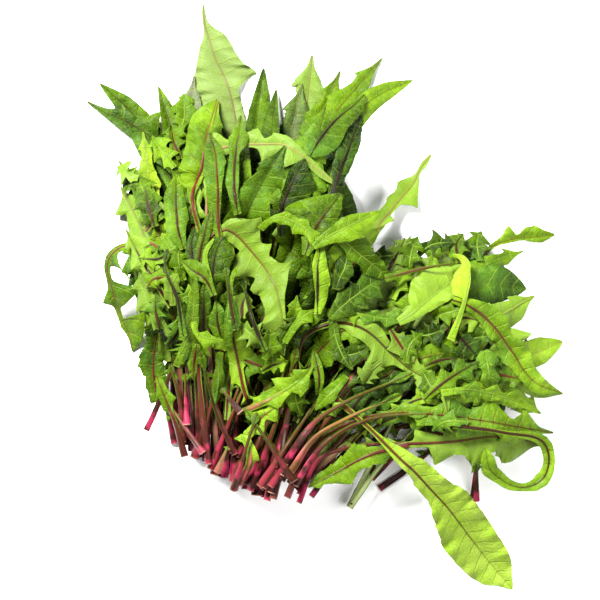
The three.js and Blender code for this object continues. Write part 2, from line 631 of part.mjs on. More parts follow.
// The height of the rib at each station of a leaf laid on the heap. The leaf starts well clear of the heap
// and sinks in small steps, until it rests on what is below, bends as far as it can, or is as steep as it
// can be. The cut end stays no lower than asked for.
function settle(stations, footAtLeast = 0) {
  const last = stations.length - 1;
  const needs = Array.from({ length: last }, () => []);
  const height = new Float64Array(stations.length);
  feel(stations, LOWER_SIDE, (x, y, z, strip, share) => {
    const need = heapUnder(x, y) + CLEARANCE - z;
    needs[strip].push([share, need]);
    height[strip] = Math.max(height[strip], need);
    height[strip + 1] = Math.max(height[strip + 1], need);
  });
  height[0] = Math.max(height[0], footAtLeast);
  const apart = (i) => stations[i + 1].s - stations[i].s;
  const clear = (i) => {
    let lowest = i === 0 ? footAtLeast : 0;
    for (const [share, need] of needs[i] ?? []) {
      if (share < 1) lowest = Math.max(lowest, (need - share * height[i + 1]) / (1 - share));
    }
    for (const [share, need] of needs[i - 1] ?? []) {
      if (share > 0) lowest = Math.max(lowest, (need - (1 - share) * height[i - 1]) / share);
    }
    return lowest;
  };
  const supple = (i) => {
    let lowest = 0;
    if (i > 0) lowest = Math.max(lowest, height[i - 1] - STEEPEST_SLOPE * apart(i - 1));
    if (i < last) lowest = Math.max(lowest, height[i + 1] - STEEPEST_SLOPE * apart(i));
    if (i > 0 && i < last) {
      const [before, after] = [apart(i - 1), apart(i)];
      const straight = (height[i - 1] * after + height[i + 1] * before) / (before + after);
      const sag = lerp(STALK_SAG, BLADE_SAG, stations[i].s / stations[last].s);
      lowest = Math.max(lowest, straight - sag * before * after);
    }
    return lowest;
  };
  for (let round = 0; round < SETTLING_ROUNDS; round++) {
    for (let i = 0; i <= last; i++) height[i] = Math.max(height[i], supple(i));
    for (let i = last; i >= 0; i--) height[i] = Math.max(height[i], supple(i));
  }
  for (let round = 0; round < SINKING_ROUNDS; round++) {
    for (let i = 0; i <= last; i++) {
      const lowest = Math.max(clear(i), supple(i));
      height[i] = Math.max(Math.min(lowest, height[i]), height[i] - SINKING_STEP);
    }
  }
  return height;
}

function lay(stations, height) {
  for (const [i, station] of stations.entries()) {
    for (const point of station.points) point.z += height[i];
  }
  feel(stations, UPPER_SIDE, raiseHeap);
}

const solidOf = (vertices, triangles) => new wasm.Manifold(new wasm.Mesh({
  numProp: 3, vertProperties: new Float32Array(vertices), triVerts: new Uint32Array(triangles.flat()),
}));

function leafSolid(stations) {
  const vertices = stations.flatMap(({ points }) => points.flatMap((p) => p.toArray()));
  const corner = (i, k) => i * 6 + k;
  const triangles = [];
  for (let i = 0; i + 1 < stations.length; i++) {
    for (const corners of [...UPPER_SIDE, ...LOWER_SIDE, ...EDGES]) {
      triangles.push(corners.map(([step, k]) => corner(i + step, k)));
    }
  }
  const last = stations.length - 1;
  for (const [a, b, c] of END_CAP) {
    triangles.push([corner(0, a), corner(0, c), corner(0, b)]);
    triangles.push([corner(last, a), corner(last, b), corner(last, c)]);
  }
  return solidOf(vertices, triangles);
}

function heelSolid(low, high) {
  const [foot, next] = [low.stations[0].points[1], low.stations[1].points[1]];
  const inward = new THREE.Vector2(next.x - foot.x, next.y - foot.y).setLength(HEEL_SET_BACK);
  const centre = inward.add(foot);
  const ring = (z) => Array.from({ length: HEEL_SIDES }, (_, k) => {
    const turn = (TAU * k) / HEEL_SIDES;
    return [centre.x + HEEL_RADIUS * Math.cos(turn), centre.y + HEEL_RADIUS * Math.sin(turn), z];
  });
  const triangles = [];
  for (let k = 0; k < HEEL_SIDES; k++) {
    const n = (k + 1) % HEEL_SIDES;
    triangles.push([k, n, k + HEEL_SIDES], [n, n + HEEL_SIDES, k + HEEL_SIDES]);
    if (k > 0 && n > 0) triangles.push([0, n, k], [HEEL_SIDES, k + HEEL_SIDES, n + HEEL_SIDES]);
  }
  return solidOf([...ring(low.height[0]), ...ring(high.height[0])].flat(), triangles);
}

// A point at share t along a hand-drawn line of sheet points.
function along(line, t) {
  const place = clamp(t, 0, 1) * (line.length - 1);
  const i = Math.min(Math.floor(place), line.length - 2);
  return [0, 1].map((k) => lerp(line[i][k], line[i + 1][k], place - i));
}

// The rule for the lower heap: pairs spread over the fan in a shuffled order, never reaching past its tips.
function fanSprigs({ name, sprigs, seed, feet, waist, tips, reach, setIn }) {
  const draw = drawsFrom(seed);
  const stray = (by) => draw(-by, by);
  return Array.from({ length: sprigs }, (_, k) => {
    const share = ((k * FAN.shuffle) % sprigs + draw(...FAN.inCell)) / sprigs;
    const entering = draw(...setIn);
    const inside = along(waist, share);
    const foot = along(feet, share).map((v, i) => lerp(v, inside[i], entering) + stray(FAN.footStray));
    const leaves = [LEFT, RIGHT].map((side) => {
      const t = clamp(share + side * FAN.pairSpread + stray(FAN.tipStray), FAN.edge, 1 - FAN.edge);
      const through = along(waist, t).map((v) => v + stray(FAN.waistStray));
      const tip = along(tips, t).map((v, i) => lerp(through[i], v, draw(...reach)));
      const middle = tip.map((v, i) => lerp(through[i], v, 0.5) + stray(FAN.middleStray));
      const entry = foot.map((v, i) => lerp(v, through[i], 0.5));
      const cut = FAN.cuts[Math.floor(draw(0, FAN.cuts.length))];
      const sizes = [draw(...FAN.width), draw(...FAN.stalk), draw(...FAN.fold), draw(...FAN.roll)];
      return leaf(cut, ...sizes, [foot, entry, through, middle, tip]);
    });
    return { name: `${name}_${k + 1}`, leaves };
  });
}

// Lays each sprig on the heap in turn and fuses its leaves at the heel.
const draw = drawsFrom(OUTLINE_SEED);
const solids = new Map();

function layAll(sprigs) {
  for (const { name, leaves } of sprigs) {
    const laid = leaves.map((plan) => ({ stations: stationsOf(plan, draw) }));
    let foot = laid.length > 1 ? settle(laid.at(-1).stations)[0] : 0;
    for (const each of laid) {
      each.height = settle(each.stations, foot);
      lay(each.stations, each.height);
      [foot] = each.height;
    }
    const parts = laid.map(({ stations }) => leafSolid(stations));
    for (let k = 1; k < laid.length; k++) parts.push(heelSolid(laid[k - 1], laid[k]));
    solids.set(name, parts.reduce((whole, part) => whole.add(part)));
  }
}

layAll(BED);
for (let k = 0; k < heap.length; k++) heap[k] = Math.max(heap[k], ABOVE_BED);
const upSprigs = fanSprigs(UP_FAN);
const rightSprigs = fanSprigs(RIGHT_FAN);
layAll(upSprigs.flatMap((sprig, k) => (rightSprigs[k] ? [sprig, rightSprigs[k]] : [sprig])));
layAll(SHOWN);

// The bed's ribs are pressed flat on the surface.
for (const { name } of BED) {
  solids.set(name, solids.get(name).trimByPlane([0, 0, 1], CLEARANCE + PRESSED));
}

// Colours: what a glance at the leaf shows, with the lower heap in the shade of the rest.
const FRESH = { color: 0x6fa32b, roughness: 0.5 };
const DEEP = { color: 0x3f7420, roughness: 0.5 };
const PALE = { color: 0x9dbf63, roughness: 0.6 };

function toGeometry(solid) {
  const { vertProperties, triVerts } = solid.getMesh();
  const geometry = new THREE.BufferGeometry();
  geometry.setAttribute('position', new THREE.BufferAttribute(vertProperties, 3));
  geometry.setIndex(new THREE.BufferAttribute(triVerts, 1));
  geometry.computeVertexNormals();
  return geometry;
}

const radicchio = new THREE.Group();
function addSprigs(sprigs, upperSide) {
  for (const { name, leaves } of sprigs) {
    const look = leaves[0].turned ? PALE : upperSide;
    const mesh = new THREE.Mesh(toGeometry(solids.get(name)), new THREE.MeshStandardMaterial(look));
    mesh.name = name;
    radicchio.add(mesh);
  }
}
addSprigs([...BED, ...upSprigs, ...rightSprigs], DEEP);
addSprigs(SHOWN, FRESH);

const box = new THREE.Box3().setFromObject(radicchio);
const middle = box.getCenter(new THREE.Vector3());
radicchio.position.set(-middle.x, -middle.y, -box.min.z);

export default radicchio;
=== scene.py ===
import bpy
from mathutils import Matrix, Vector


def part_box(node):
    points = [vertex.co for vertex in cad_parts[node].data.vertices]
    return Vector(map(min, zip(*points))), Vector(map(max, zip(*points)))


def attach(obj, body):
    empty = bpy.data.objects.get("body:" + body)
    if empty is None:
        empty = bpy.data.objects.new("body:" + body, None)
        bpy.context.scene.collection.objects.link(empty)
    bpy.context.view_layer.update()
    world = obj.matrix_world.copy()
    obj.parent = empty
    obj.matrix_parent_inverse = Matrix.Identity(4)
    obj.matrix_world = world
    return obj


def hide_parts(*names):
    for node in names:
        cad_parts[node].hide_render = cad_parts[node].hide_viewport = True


bl_info = {
    "name": "Radicchio bunch",
    "version": (1, 0, 0),
    "blender": (4, 5, 0),
    "location": "3D View > Sidebar > Radicchio",
    "description": "Grows the leaves of a loose bunch of red-ribbed leaf radicchio round its packed solids",
    "category": "Add Mesh",
}

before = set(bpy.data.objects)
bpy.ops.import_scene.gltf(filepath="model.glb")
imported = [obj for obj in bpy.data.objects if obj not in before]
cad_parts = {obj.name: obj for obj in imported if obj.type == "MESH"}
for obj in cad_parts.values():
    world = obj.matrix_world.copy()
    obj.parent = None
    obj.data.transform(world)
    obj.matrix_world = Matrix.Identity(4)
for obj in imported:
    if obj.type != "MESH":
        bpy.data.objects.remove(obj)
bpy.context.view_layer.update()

import math

import bpy
import numpy as np
from bpy.props import FloatProperty, FloatVectorProperty, PointerProperty
from mathutils import Vector

MM = 0.001
DRAW_STEP, DRAW_SIZE = 48271, 2147483647
TAU = 2 * math.pi
LEFT, RIGHT = -1, 1

# Layout: leaf routes are drawn on a square sheet seen from above, x to the right and y down.
SHEET_STEP = 0.7  # mm for one step of the sheet
SHEET_MIDDLE = 300  # steps

# Leaf section, in mm and degrees
BLADE_THICKNESS = 0.7
STALK_EDGE_THICKNESS = 1.5
STALK_HALF_WIDTH = 2.4
TIP_HALF_WIDTH = 0.6
RIB_DEPTH_AT_CUT = 1.6
RIB_DEPTH_AT_TIP = 0.7
CREST_SHARE = 0.45
STEEPEST_HALF = 68
FOLD_FULL_AT = 0.25
ROLL_GROWS = (0.25, 0.75)

# Leaf outline. Lobes and teeth point backwards, as in a dandelion.
CUTS = {
    "entire": dict(fullest=0.56, depth=0),
    "rounded": dict(fullest=0.72, depth=0),
    "wavy": dict(fullest=0.56, depth=0.15, cell=26, end=0.84),
    "toothed": dict(fullest=0.52, depth=0.24, cell=25, end=0.86),
    "lobed": dict(fullest=0.6, depth=0.52, cell=27, end=0.74),
}
ENTIRE_KNOTS = (0, 0.18, 0.38, 0.58, 0.76, 0.92)
BASE_SHARE = 0.16
TIP_FULLNESS = 0.8
POINT_REACH = (0.84, 1.08)
NOTCH_REACH = (0.7, 1.2)
DRAWN_BACK = (0.15, 0.75)
UNEVEN = 0.2
SHOULDER_AT, SHOULDER_REACH = 0.3, 1.15
NECK_AT = 0.66
STALK_STEP = 36
WAVES_ALONG = 3.5
WAVE_HEIGHT = 0.09
TIGHTEST = 0.7
BEND_REACH = 12
TOOTH_STANDS_OUT = 1.04
STRAIGHT = 1e-6
ROUTE_DIVISIONS = 200
TANGENT_STEP = 0.0001

# Heap, in mm
CELL = 1.2
SPREAD = 230
CLEARANCE = 0.5
SAMPLE = 0.9
STALK_SAG = 0.002
BLADE_SAG = 0.01
STEEPEST_SLOPE = 0.62
SETTLING_ROUNDS = 40
SINKING_ROUNDS = 60
SINKING_STEP = 0.8
PRESSED = 0.45
ABOVE_BED = 0.7

# Seeds. The same seed gives the same leaves each time.
OUTLINE_SEED = 60611
FILL_SEED = 5077
LOOSE_SEED = 977
LOOK_SEED = 20431
JAGGED_SEED = 7349

# Fine leaves, in mm, each grown from its packed stations
ROW_STEP, HIDDEN_ROW_STEP, STALK_ROW_STEP, CLOSEST_ROWS = 1.6, 3.2, 5.0, 0.55
EARED_ROWS = 1.2  # times the row step
SAME_STATION = 0.01
BLADE_COLUMNS = 5
RIB_COLUMNS = (0.0, 0.45, 0.8, 1.0)
RIB_RADIUS = (1.1, 0.35)
SLENDER_RIBS = (0.5, 0.9)  # of green ribs and of coloured ones
SLENDER_GROWS = (-0.1, 0.25)
FOOT_SWELLS, FOOT_FADES = (0.3, 1.35), 4.5
WING, WINGED = 0.25, 0.8
NARROWEST_HALF = 0.35
BROAD_FROM = (0.1, 2)
BLADE_FROM = (0, 3)
THIN_BLADE, STALK_RIM = 0.45, 1.1
POINT_ARRIVES, POINT_LEAVES, TIP_ARRIVES = 1.6, 0.55, 1.25
VEIN_STEP, VEIN_SWEEP = 9.0, 0.55
WIDE_HALF, WIDEST_WAVES = 15, 1.2
RUFFLE_LENGTH, SMALL_RUFFLE_LENGTH, SMALL_RUFFLE = (15, 24), (7, 10), 0.5

# Small leaflets along a bare stalk
EAR_GAP, EAR_LENGTH, EAR_REACH, EARS_FROM = (9, 16), (4, 7), (2.2, 7), 0.45
EARS_STOP_SHORT, EAR_POINT_AT = 2, 0.55
EAR_UNEVEN, EAR_DRAWN_BACK, EAR_RISE = (0.6, 1), (0.3, 0.8), (-1, 1)

# Small teeth on a margin
TOOTH_ROWS, TOOTH_SIZE, TOOTH_DRAWN_BACK = (3, 7), (0.2, 1), 0.8
TEETH_FROM, TEETH_END = (2, 6), (0.93, 1)
TOOTH_HEIGHT = {"entire": 0.5, "rounded": 0.5, "wavy": 3.0, "toothed": 2.8, "lobed": 2.4, "traced": 1.0}
NOTCH_DEEPER = {"entire": 1, "rounded": 1, "wavy": 0.66, "toothed": 0.7, "lobed": 0.75, "traced": 0.94}

# How fine leaves lie on each other, in mm
FINE_CELL = 0.9
FINE_GAP = 0.15
FINE_SPREAD = 3
LIFT_SPREADS, LIFT_BLURS = 2, 3
OVER_PRESSED = 4.5

# Finish of a piece
SMOOTH_BELOW = math.radians(60)
SAME_PLACE = 0.001
HEEL_RADIUS, HEEL_SET_BACK, HEEL_ROUNDING = 1.9, 3, 1.2
HEEL_SEGMENTS, HEEL_RINGS = 14, 8
HEEL_ALONG = 4.0  # mm from the cut end, where a heel takes its colour from
FOOT_REDNESS = (0.35, 1)
GREEN_BLUSH, RED_BLUSH = 0.1, 0.4

# Leaf material: its colours
# Palest green: partly the leaf's own, partly a painted sheen that stands in for glossy highlights
PALE_SHEEN_GREEN = (0.175, 0.255, 0.03)
COOL_GREEN = (0.034, 0.085, 0.005)
YELLOWED, FROSTED = (0.21, 0.26, 0.006), (0.078, 0.095, 0.05)
UNDERSIDE, UNDERSIDE_SHARE = (0.12, 0.19, 0.02), 0.5
VEIN_GREEN = (0.13, 0.205, 0.016)
FOOT_DARK = (0.017, 0.003, 0.003)
CUT_FACE = (0.24, 0.12, 0.08)
FIBRE_COLOUR, FIBRE_SHARE = (0.16, 0.085, 0.055), 0.12

# Leaf material: how often each pattern changes, from a metre to a millimetre
PATCH_SCALE, COOL_SCALE, FOOT_SCALE = 45.0, 16.0, 75.0
GRAIN_SCALE, GRAIN_DETAIL = 260.0, 3.0
NET_SCALE, NET_STRAY = 0.42, 1.5
FIBRES_ALONG, FIBRES_ACROSS = 0.05, 2.2
VEIN_WANDER = 2.2

# Leaf material: where each change begins and where it is complete
VEIN_EDGE, NET_EDGE = (0.015, 0.085), (0.0, 0.16)
RIB_EDGE, CUT_EDGE = (0.8, 1.25), (0.3, 0.9)
# Past the bright green, the brightest patches take on the pale painted sheen of highlights
DEEP_TO_MID, MID_TO_BRIGHT, BRIGHT_TO_PALE_SHEEN = (0.05, 0.68), (0.5, 1.1), (0.85, 1.4)
COOL_PATCHES, YELLOW_PATCHES, FOOT_PATCHES = (0.45, 0.65), (0.35, 0.6), (0.46, 0.6)
FOOT_RED_FADES, RIB_TURNS_GREEN = (5.0, 50.0), (0.5, 0.95)
BLUSH_BY_RIB, BLUSH_BY_VEIN = (1.0, 3.2), (0.1, 0.75)
FIBRE_EDGE = (0.5, 0.8)

# Leaf material: how strongly each pattern shows
PATCHES_SHOW, GRAIN_SHOWS = 0.9, 0.42
VEINS_FADE, VEINS_SHOW, NET_SHOWS = 0.55, 0.6, 0.2
VEINS_ON_DARK, VEINS_ON_BRIGHT = 0.3, 0.7
BLUSH_SHARE, FOOT_SPREADS = 0.45, 0.8
VEIN_SINKS, NET_SINKS, FIBRE_STANDS, UNDER_STANDS = -0.9, -0.4, 0.8, -0.6
BUMP_STRENGTH, BUMP_DEPTH = 0.75, 0.0007
ROUGHNESS, GRAIN_ROUGHNESS, RIB_GLOSS, SPECULAR = 0.36, 0.14, -0.12, 0.07

# Stage, in metres and watts
FLOOR_SIZE, FLOOR_DROP, FLOOR_ROUGHNESS = 6, 0.0005, 0.8
KEY_LIGHT = dict(place=(-0.8, 1.1, 1.6), size=0.75, power=236)
FILL_LIGHT = dict(place=(1.1, -0.5, 1.4), size=1.6, power=48)
SKY_STRENGTH = 0.17
SEEN_TO = 20


def draws_from(seed):
    """The same numbers each time: the minimal standard generator."""
    state = seed

    def draw(low=0.0, high=1.0):
        nonlocal state
        state = state * DRAW_STEP % DRAW_SIZE
        return low + (high - low) * state / DRAW_SIZE

    return draw


def leaf(cut, width, stalk, fold, roll, route, turned=False):
    """A leaf drawn by rule: its cut, flat width in mm, share that is bare stalk, fold and roll in degrees.

    The route runs on the sheet from the cut end to the tip. A turned leaf has its underside facing up.
    """
    sizes = dict(width=width, stalk=stalk, fold=fold, roll=roll)
    return dict(cut=cut, route=route, rows=None, turned=turned, **sizes)


def traced(fold, roll, route, rows, turned=False):
    """A leaf that shows whole: rows hold its rib, left margin and right margin on the sheet, to the tip."""
    return dict(cut="traced", fold=fold, roll=roll, route=route, rows=rows, turned=turned)


def bare(width, stalk, fold, route):
    """A stalk with only a last bit of blade at its tip."""
    return leaf("entire", width, stalk, fold, 0, route)


def named(group, leaves):
    """Leaves that only this scene has, each with the name of its group before its own."""
    return [(f"{group}_{name}", *rest) for name, *rest in leaves]


# Leaves that show whole, each with its own outline.
TALL_PALE = traced(6, -6, [[238, 482], [245, 380], [247, 250], [243, 170]], [
    [240, 140, 222, 138, 252, 142], [236, 120, 206, 120, 247, 122], [233, 104, 199, 106, 242, 104],
    [229, 87, 195, 92, 239, 90], [223, 72, 193, 74, 256, 71], [217, 60, 196, 60, 246, 62],
    [212, 47, 199, 46, 237, 50], [208, 33, 203, 33, 229, 36], [205, 24, 203, 24, 216, 26],
    [204, 16, 202, 16, 207, 17], [203, 2],
], True)

LEFT_REACH = traced(10, 6, [[206, 462], [203, 360], [198, 260], [189, 198]], [
    [178, 174, 174, 177, 182, 172], [168, 157, 158, 163, 173, 155], [158, 144, 141, 157, 164, 141],
    [149, 135, 134, 145, 158, 133], [141, 129, 129, 135, 161, 111], [132, 124, 121, 129, 142, 117],
    [123, 119, 114, 124, 133, 114], [114, 115, 107, 118, 121, 103], [106, 112, 101, 113, 113, 107],
    [99, 108, 96, 109, 101, 105], [86, 100],
])

LONE_TOOTHED = traced(7, -8, [[274, 498], [306, 390], [334, 306], [356, 260]], [
    [372, 236, 370, 232, 375, 237], [378, 228, 368, 226, 382, 229], [384, 220, 376, 215, 395, 220],
    [391, 212, 384, 207, 393, 214], [398, 203, 391, 196, 402, 205], [404, 196, 397, 190, 419, 206],
    [410, 189, 399, 182, 420, 193], [416, 181, 408, 177, 421, 182], [420, 172, 418, 171, 422, 173],
    [425, 164, 423, 162, 428, 166], [433, 153],
], True)

ACROSS = traced(6, -6, [[220, 474], [211, 360], [208, 240], [211, 176]], [
    [216, 158, 206, 146, 222, 164], [223, 150, 214, 135, 229, 156], [231, 148, 228, 141, 236, 154],
    [241, 147, 240, 142, 243, 150], [251, 146, 248, 134, 251, 149], [259, 146, 260, 131, 259, 151],
    [266, 146, 266, 140, 264, 169], [275, 146, 276, 136, 274, 157], [285, 147, 288, 138, 284, 155],
    [291, 150, 297, 145, 284, 170], [299, 155, 303, 151, 300, 165], [308, 162, 311, 159, 308, 168],
    [318, 171, 320, 168, 316, 176], [337, 187],
], True)

LIGHT_HERO = traced(7, 6, [[210, 464], [200, 370], [198, 290], [208, 244]], [
    [220, 233, 224, 226, 218, 238], [229, 231, 238, 219, 226, 239], [238, 236, 262, 218, 232, 243],
    [246, 244, 262, 231, 241, 251], [252, 251, 263, 243, 236, 262], [258, 258, 273, 245, 231, 278],
    [263, 264, 271, 257, 243, 277], [268, 271, 280, 263, 256, 279], [272, 279, 298, 258, 252, 290],
    [277, 288, 290, 276, 260, 296], [280, 300, 286, 298, 266, 310], [283, 316, 287, 316, 263, 324],
    [284, 334, 288, 334, 271, 338], [285, 355],
], True)

LEFT_CURL = traced(8, 8, [[182, 444], [180, 360], [174, 285], [164, 250]], [
    [150, 243, 150, 246, 150, 240], [139, 244, 153, 272, 139, 241], [131, 246, 135, 256, 130, 243],
    [124, 247, 124, 252, 123, 244], [117, 251, 120, 254, 115, 248], [111, 257, 131, 280, 108, 255],
    [108, 266, 112, 267, 105, 266], [110, 279, 113, 279, 107, 280], [113, 291, 141, 289, 108, 288],
    [115, 299, 128, 303, 103, 303], [118, 308, 121, 309, 113, 307], [121, 318, 123, 318, 118, 319],
    [125, 326, 144, 313, 120, 327], [129, 336, 144, 335, 127, 337], [132, 352],
])

DARK_ARC = traced(7, -6, [[282, 462], [292, 395], [304, 340], [328, 324]], [
    [345, 323, 346, 318, 343, 328], [357, 326, 360, 317, 353, 336], [367, 331, 372, 322, 362, 341],
    [376, 338, 383, 330, 370, 351], [383, 345, 389, 340, 357, 380], [390, 352, 396, 345, 376, 370],
    [398, 359, 405, 352, 394, 365], [406, 366, 416, 347, 403, 370], [415, 372, 420, 364, 412, 377],
    [423, 376, 431, 368, 423, 400], [431, 380, 434, 374, 428, 385], [438, 384, 442, 380, 433, 393],
    [443, 393, 448, 391, 439, 396], [447, 413],
], True)

BROWN_ARC = traced(6, 6, [[288, 478], [350, 388], [400, 326], [446, 302]], [
    [466, 304, 467, 299, 464, 308], [475, 309, 479, 302, 470, 314], [484, 317, 489, 303, 476, 323],
    [492, 324, 499, 316, 483, 333], [500, 332, 508, 326, 490, 344], [507, 341, 531, 334, 491, 352],
    [513, 351, 520, 345, 498, 365], [518, 361, 525, 355, 511, 367], [525, 371, 529, 365, 508, 380],
    [533, 380, 535, 375, 518, 387], [542, 385, 545, 381, 530, 396], [564, 394],
], True)

RIBBON = traced(10, 6, [[452, 424], [500, 431], [532, 435]], [
    [546, 446, 552, 443, 541, 450], [549, 458, 555, 456, 543, 460], [548, 468, 554, 471, 542, 467],
    [544, 477, 549, 482, 537, 474], [535, 484, 538, 490, 531, 480], [523, 487, 523, 491, 522, 483],
    [510, 484, 507, 489, 513, 480], [499, 477, 494, 481, 504, 473], [490, 469, 482, 471, 497, 466],
    [487, 460, 480, 460, 494, 457], [485, 448],
])

FAR_CORNER = traced(10, 14, [[284, 478], [362, 396], [438, 318], [484, 262]], [
    [500, 243, 498, 240, 503, 245], [510, 240, 512, 226, 512, 243], [518, 238, 520, 234, 519, 241],
    [526, 237, 529, 227, 527, 240], [534, 237, 538, 225, 537, 242], [543, 236, 546, 229, 544, 242],
    [558, 234],
])

LONE_BIG = traced(7, 6, [[334, 396], [366, 424], [392, 448]], [
    [404, 461, 409, 451, 400, 465], [413, 469, 425, 460, 409, 474], [425, 482, 441, 473, 417, 487],
    [436, 494, 456, 484, 429, 501], [447, 506, 468, 491, 434, 519], [458, 520, 478, 503, 440, 536],
    [469, 535, 490, 519, 445, 552], [480, 549, 502, 538, 458, 567], [490, 562, 511, 553, 471, 579],
    [500, 574, 515, 567, 484, 587], [508, 583, 515, 579, 500, 589], [515, 592],
])

# The bed: these lie flat on the surface and carry the rest on their pressed ribs.
BED = [
    ("bed_left", [
        leaf("lobed", 34, 0.42, 8, 0, [[176, 436], [172, 380], [164, 310], [154, 240], [140, 160]])]),
    ("bed_up", [
        leaf("lobed", 40, 0.42, 8, 0, [[250, 488], [262, 400], [280, 300], [294, 200], [302, 108]])]),
    ("bed_right", [
        leaf("lobed", 40, 0.42, 8, 0, [[381, 491], [410, 471], [450, 436], [494, 390], [530, 340]])]),
]

# The lower heap, placed by rule: both fans are filled with pairs of leaves cut off together.
FAN_SHUFFLE = 5
FAN_IN_CELL = (0.2, 0.8)
FAN_PAIR_SPREAD = 0.09
FAN_EDGE = 0.02
FAN_TIP_STRAY = 0.03
FAN_FOOT_STRAY, FAN_WAIST_STRAY, FAN_MIDDLE_STRAY = 3, 8, 10
FAN_CUTS = ("lobed", "toothed", "lobed", "wavy")
FAN_WIDTH, FAN_STALK, FAN_FOLD, FAN_ROLL = (26, 38), (0.32, 0.48), (3, 12), (-10, 10)
UP_FAN = dict(
    name="up_fan", sprigs=7, seed=4127,
    feet=[[178, 440], [200, 458], [222, 474], [244, 490], [262, 498]],
    waist=[[176, 350], [206, 350], [236, 350], [268, 350], [306, 350]],
    tips=[[118, 200], [134, 110], [215, 76], [296, 84], [350, 136]],
    reach=(0.6, 0.96), set_in=(0, 0.35),
)
RIGHT_FAN = dict(
    name="right_fan", sprigs=6, seed=9311,
    feet=[[270, 462], [286, 474], [300, 490], [330, 498], [372, 500]],
    waist=[[330, 370], [352, 382], [370, 400], [388, 420], [412, 440]],
    tips=[[404, 246], [476, 250], [532, 304], [540, 370], [528, 428]],
    reach=(0.62, 0.95), set_in=(0, 0.45),
)

# The colours of ribs. A look is how bright a leaf's green is, or one brightness for each leaf, then
# its rib's colour, how far that spreads along the veins, and how yellowed it is (below 0: frosted).
MAROON = (0.021, 0.0075, 0.003)
BLACKISH = (0.009, 0.004, 0.003)
CRIMSON = (0.047, 0.009, 0.0045)
VIVID = (0.075, 0.012, 0.008)
PINK = (0.12, 0.035, 0.025)
ROSE = (0.16, 0.085, 0.045)
MAUVE = (0.085, 0.03, 0.032)
BROWN = (0.05, 0.019, 0.006)
ORANGE = (0.15, 0.062, 0.022)
PALE_STALK = (0.32, 0.38, 0.15)
CELADON = (0.095, 0.155, 0.016)

